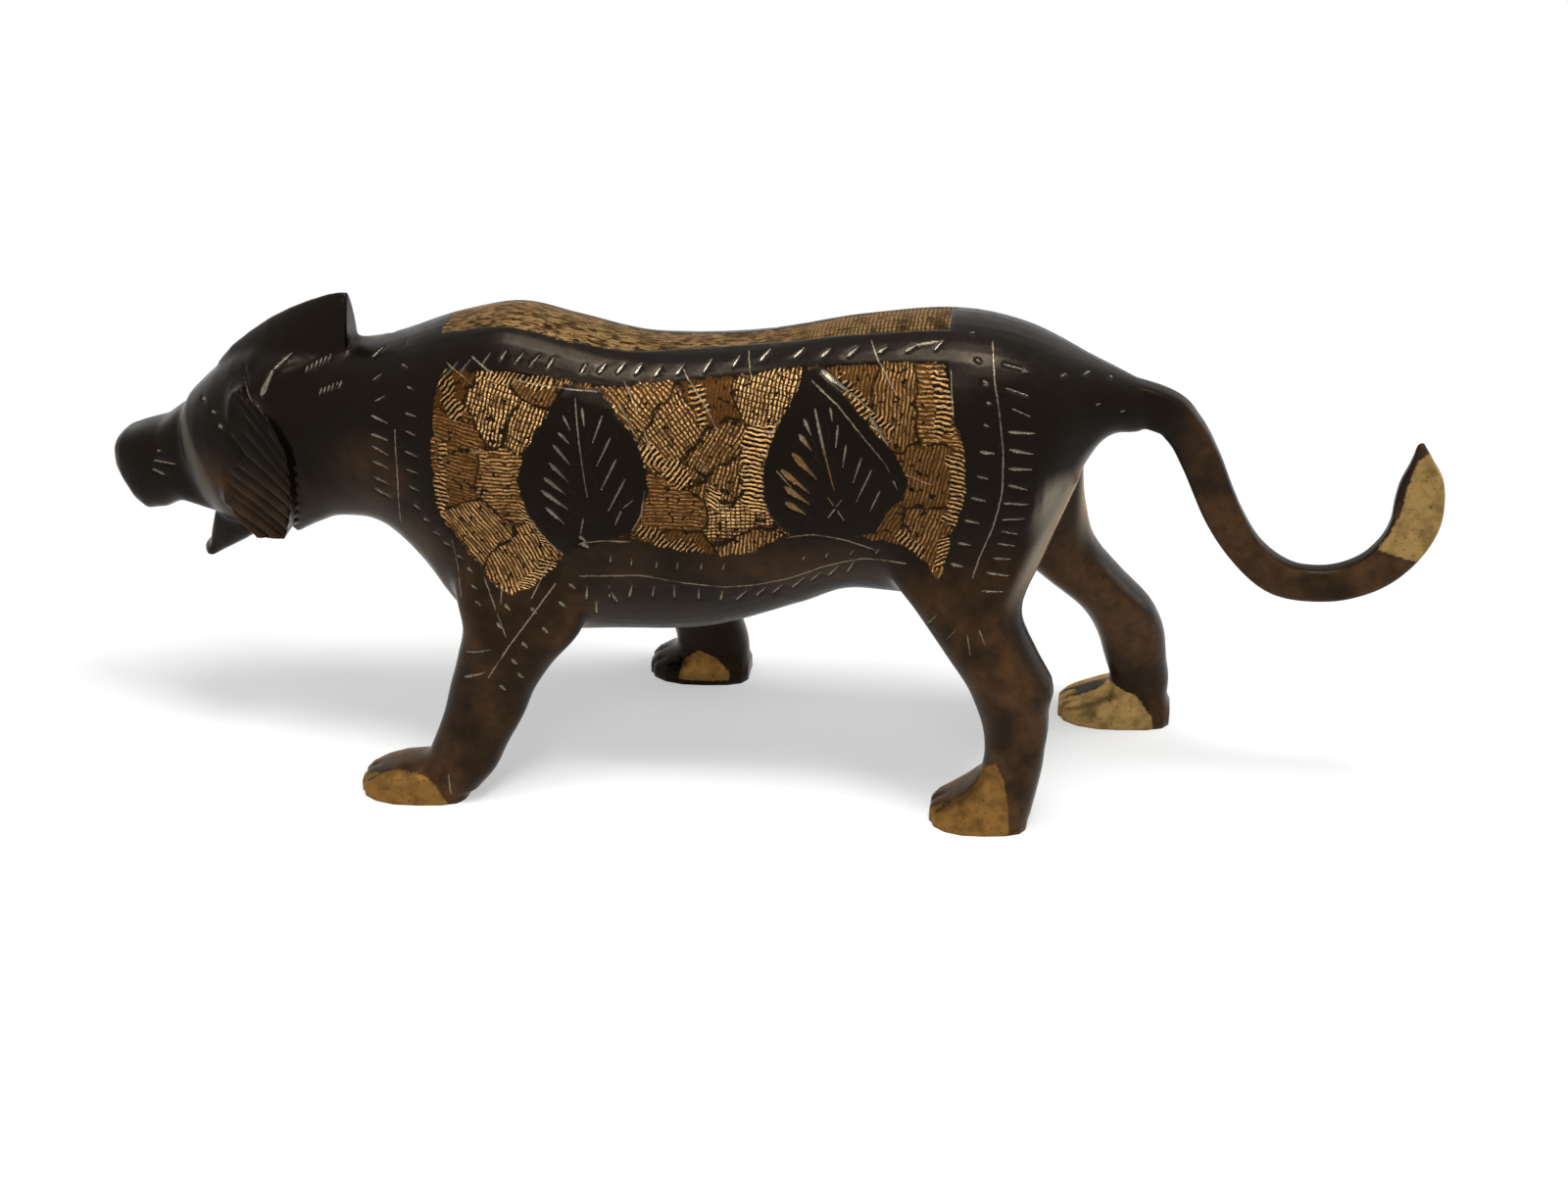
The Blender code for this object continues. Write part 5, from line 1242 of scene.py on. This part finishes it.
# %% Metal, gloss and relief
metal = times(field, ramp(field_metal, 0.05, 0.5, 0.5, 1.0))
metal = math("MAXIMUM", metal, times(spine, 0.8), times(bold, 0.6), gilt, rear_thigh_highlight, times(fine, 0.6),
             times(thin_coat_and_sheen, 0.5))
tree.links.new(times(metal, 0.95), shader.inputs["Metallic"])
gloss = between(math("MAXIMUM", field, gilt, spine), ramp(mottle, 0.3, 0.7, 0.24, 0.36), 0.40)
tree.links.new(gloss, shader.inputs["Roughness"])
shader.inputs["IOR"].default_value = 1.5
shader.inputs["Specular IOR Level"].default_value = 0.13
shader.inputs["Specular Tint"].default_value = linear("#ffe2c6")

height = plus(times(field_metal, field), times(spine_metal, spine, 0.6), times(mottle, 0.3))
height = math("SUBTRACT", height, times(fine, 0.6), times(bold, 0.8))
relief = put("Bump", ("Height", height), ("Strength", 0.8), ("Distance", 0.00022))
tree.links.new(relief, shader.inputs["Normal"])
finished.materials.clear()
finished.materials.append(finish)
print("nodes in the finish:", len(tree.nodes))

# %% [markdown]
# The figurine stands on a plain pale floor under soft studio light. A long softbox overhead draws the
# highlight along the edge of the back, a small one beside it catches the haunch, one in front fills
# the near side, and a lamp behind the tail draws the edges of the thighs. The world lights the object
# as a dim, even white. The eye, and any glossy or clear thing, sees the world and the far paper as
# plain white, and the near paper with its shadow.

# %% Floor, lamps and world
FLOOR_REACH = 4.0
WORLD_LIGHT = 0.34
WHITE = (1.0, 1.0, 1.0, 1.0)


def seen_as_background():
    """One for the rays that show a background, and zero for those that light a thing."""
    rays = put("LightPath").node.outputs
    return math("MAXIMUM", rays["Is Camera Ray"], rays["Is Glossy Ray"], rays["Is Transmission Ray"])


floor_mesh = bpy.data.meshes.new("floor")
floor_corners = [(FLOOR_REACH * x, FLOOR_REACH * y, 0) for x, y in ((-1, -1), (1, -1), (1, 1), (-1, 1))]
floor_mesh.from_pydata(floor_corners, [], [(0, 1, 2, 3)])
floor = bpy.data.objects.new("floor", floor_mesh)
bpy.context.scene.collection.objects.link(floor)
paper = bpy.data.materials.new("White paper")
paper.use_nodes = True
tree = paper.node_tree
diffuse_paper = tree.nodes["Principled BSDF"]
diffuse_paper.inputs["Base Color"].default_value = linear("#f6f6f5")
diffuse_paper.inputs["Roughness"].default_value = 0.9
diffuse_paper.inputs["Specular IOR Level"].default_value = 0.1
far_off = ramp(vector("LENGTH", (0, put("TexCoord", out=3)), out=1), 0.10, 0.30, 0.45, 1.0)
bright_paper = put("Emission", (0, WHITE), (1, 1.0))
mixed = put("MixShader", (0, times(seen_as_background(), far_off)), (1, diffuse_paper.outputs[0]),
            (2, bright_paper))
tree.links.new(mixed, tree.nodes["Material Output"].inputs["Surface"])
floor_mesh.materials.append(paper)

for name, spot, long_side, short_side, watts in (("top_softbox", (0.0, -0.08, 0.95), 0.60, 0.20, 6.2),
                                                 ("small_window", (0.20, -0.14, 0.90), 0.22, 0.16, 3.0),
                                                 ("front_fill", (0.0, -0.80, 1.05), 0.34, 0.34, 1.7),
                                                 ("tail_rim", (0.8, 0.35, 0.3), 0.4, 0.4, 1.2)):
    lamp = bpy.data.objects.new(name, bpy.data.lights.new(name, "AREA"))
    lamp.data.shape = "RECTANGLE"
    lamp.data.size = long_side
    lamp.data.size_y = short_side
    lamp.data.energy = watts
    lamp.location = spot
    lamp.rotation_euler = (Vector((0.0, 0.0, 0.05)) - Vector(spot)).to_track_quat("-Z", "Y").to_euler()
    bpy.context.scene.collection.objects.link(lamp)

world = bpy.data.worlds.new("studio")
bpy.context.scene.world = world
world.use_nodes = True
tree = world.node_tree
dim = tree.nodes["Background"]
dim.inputs["Color"].default_value = WHITE
dim.inputs["Strength"].default_value = WORLD_LIGHT
white = put("Background", (0, WHITE), (1, 1.0))
background = put("MixShader", (0, seen_as_background()), (1, dim.outputs[0]), (2, white))
tree.links.new(background, tree.nodes["World Output"].inputs["Surface"])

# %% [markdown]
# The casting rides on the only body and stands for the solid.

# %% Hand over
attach(casting, "root")
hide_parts("leopard")
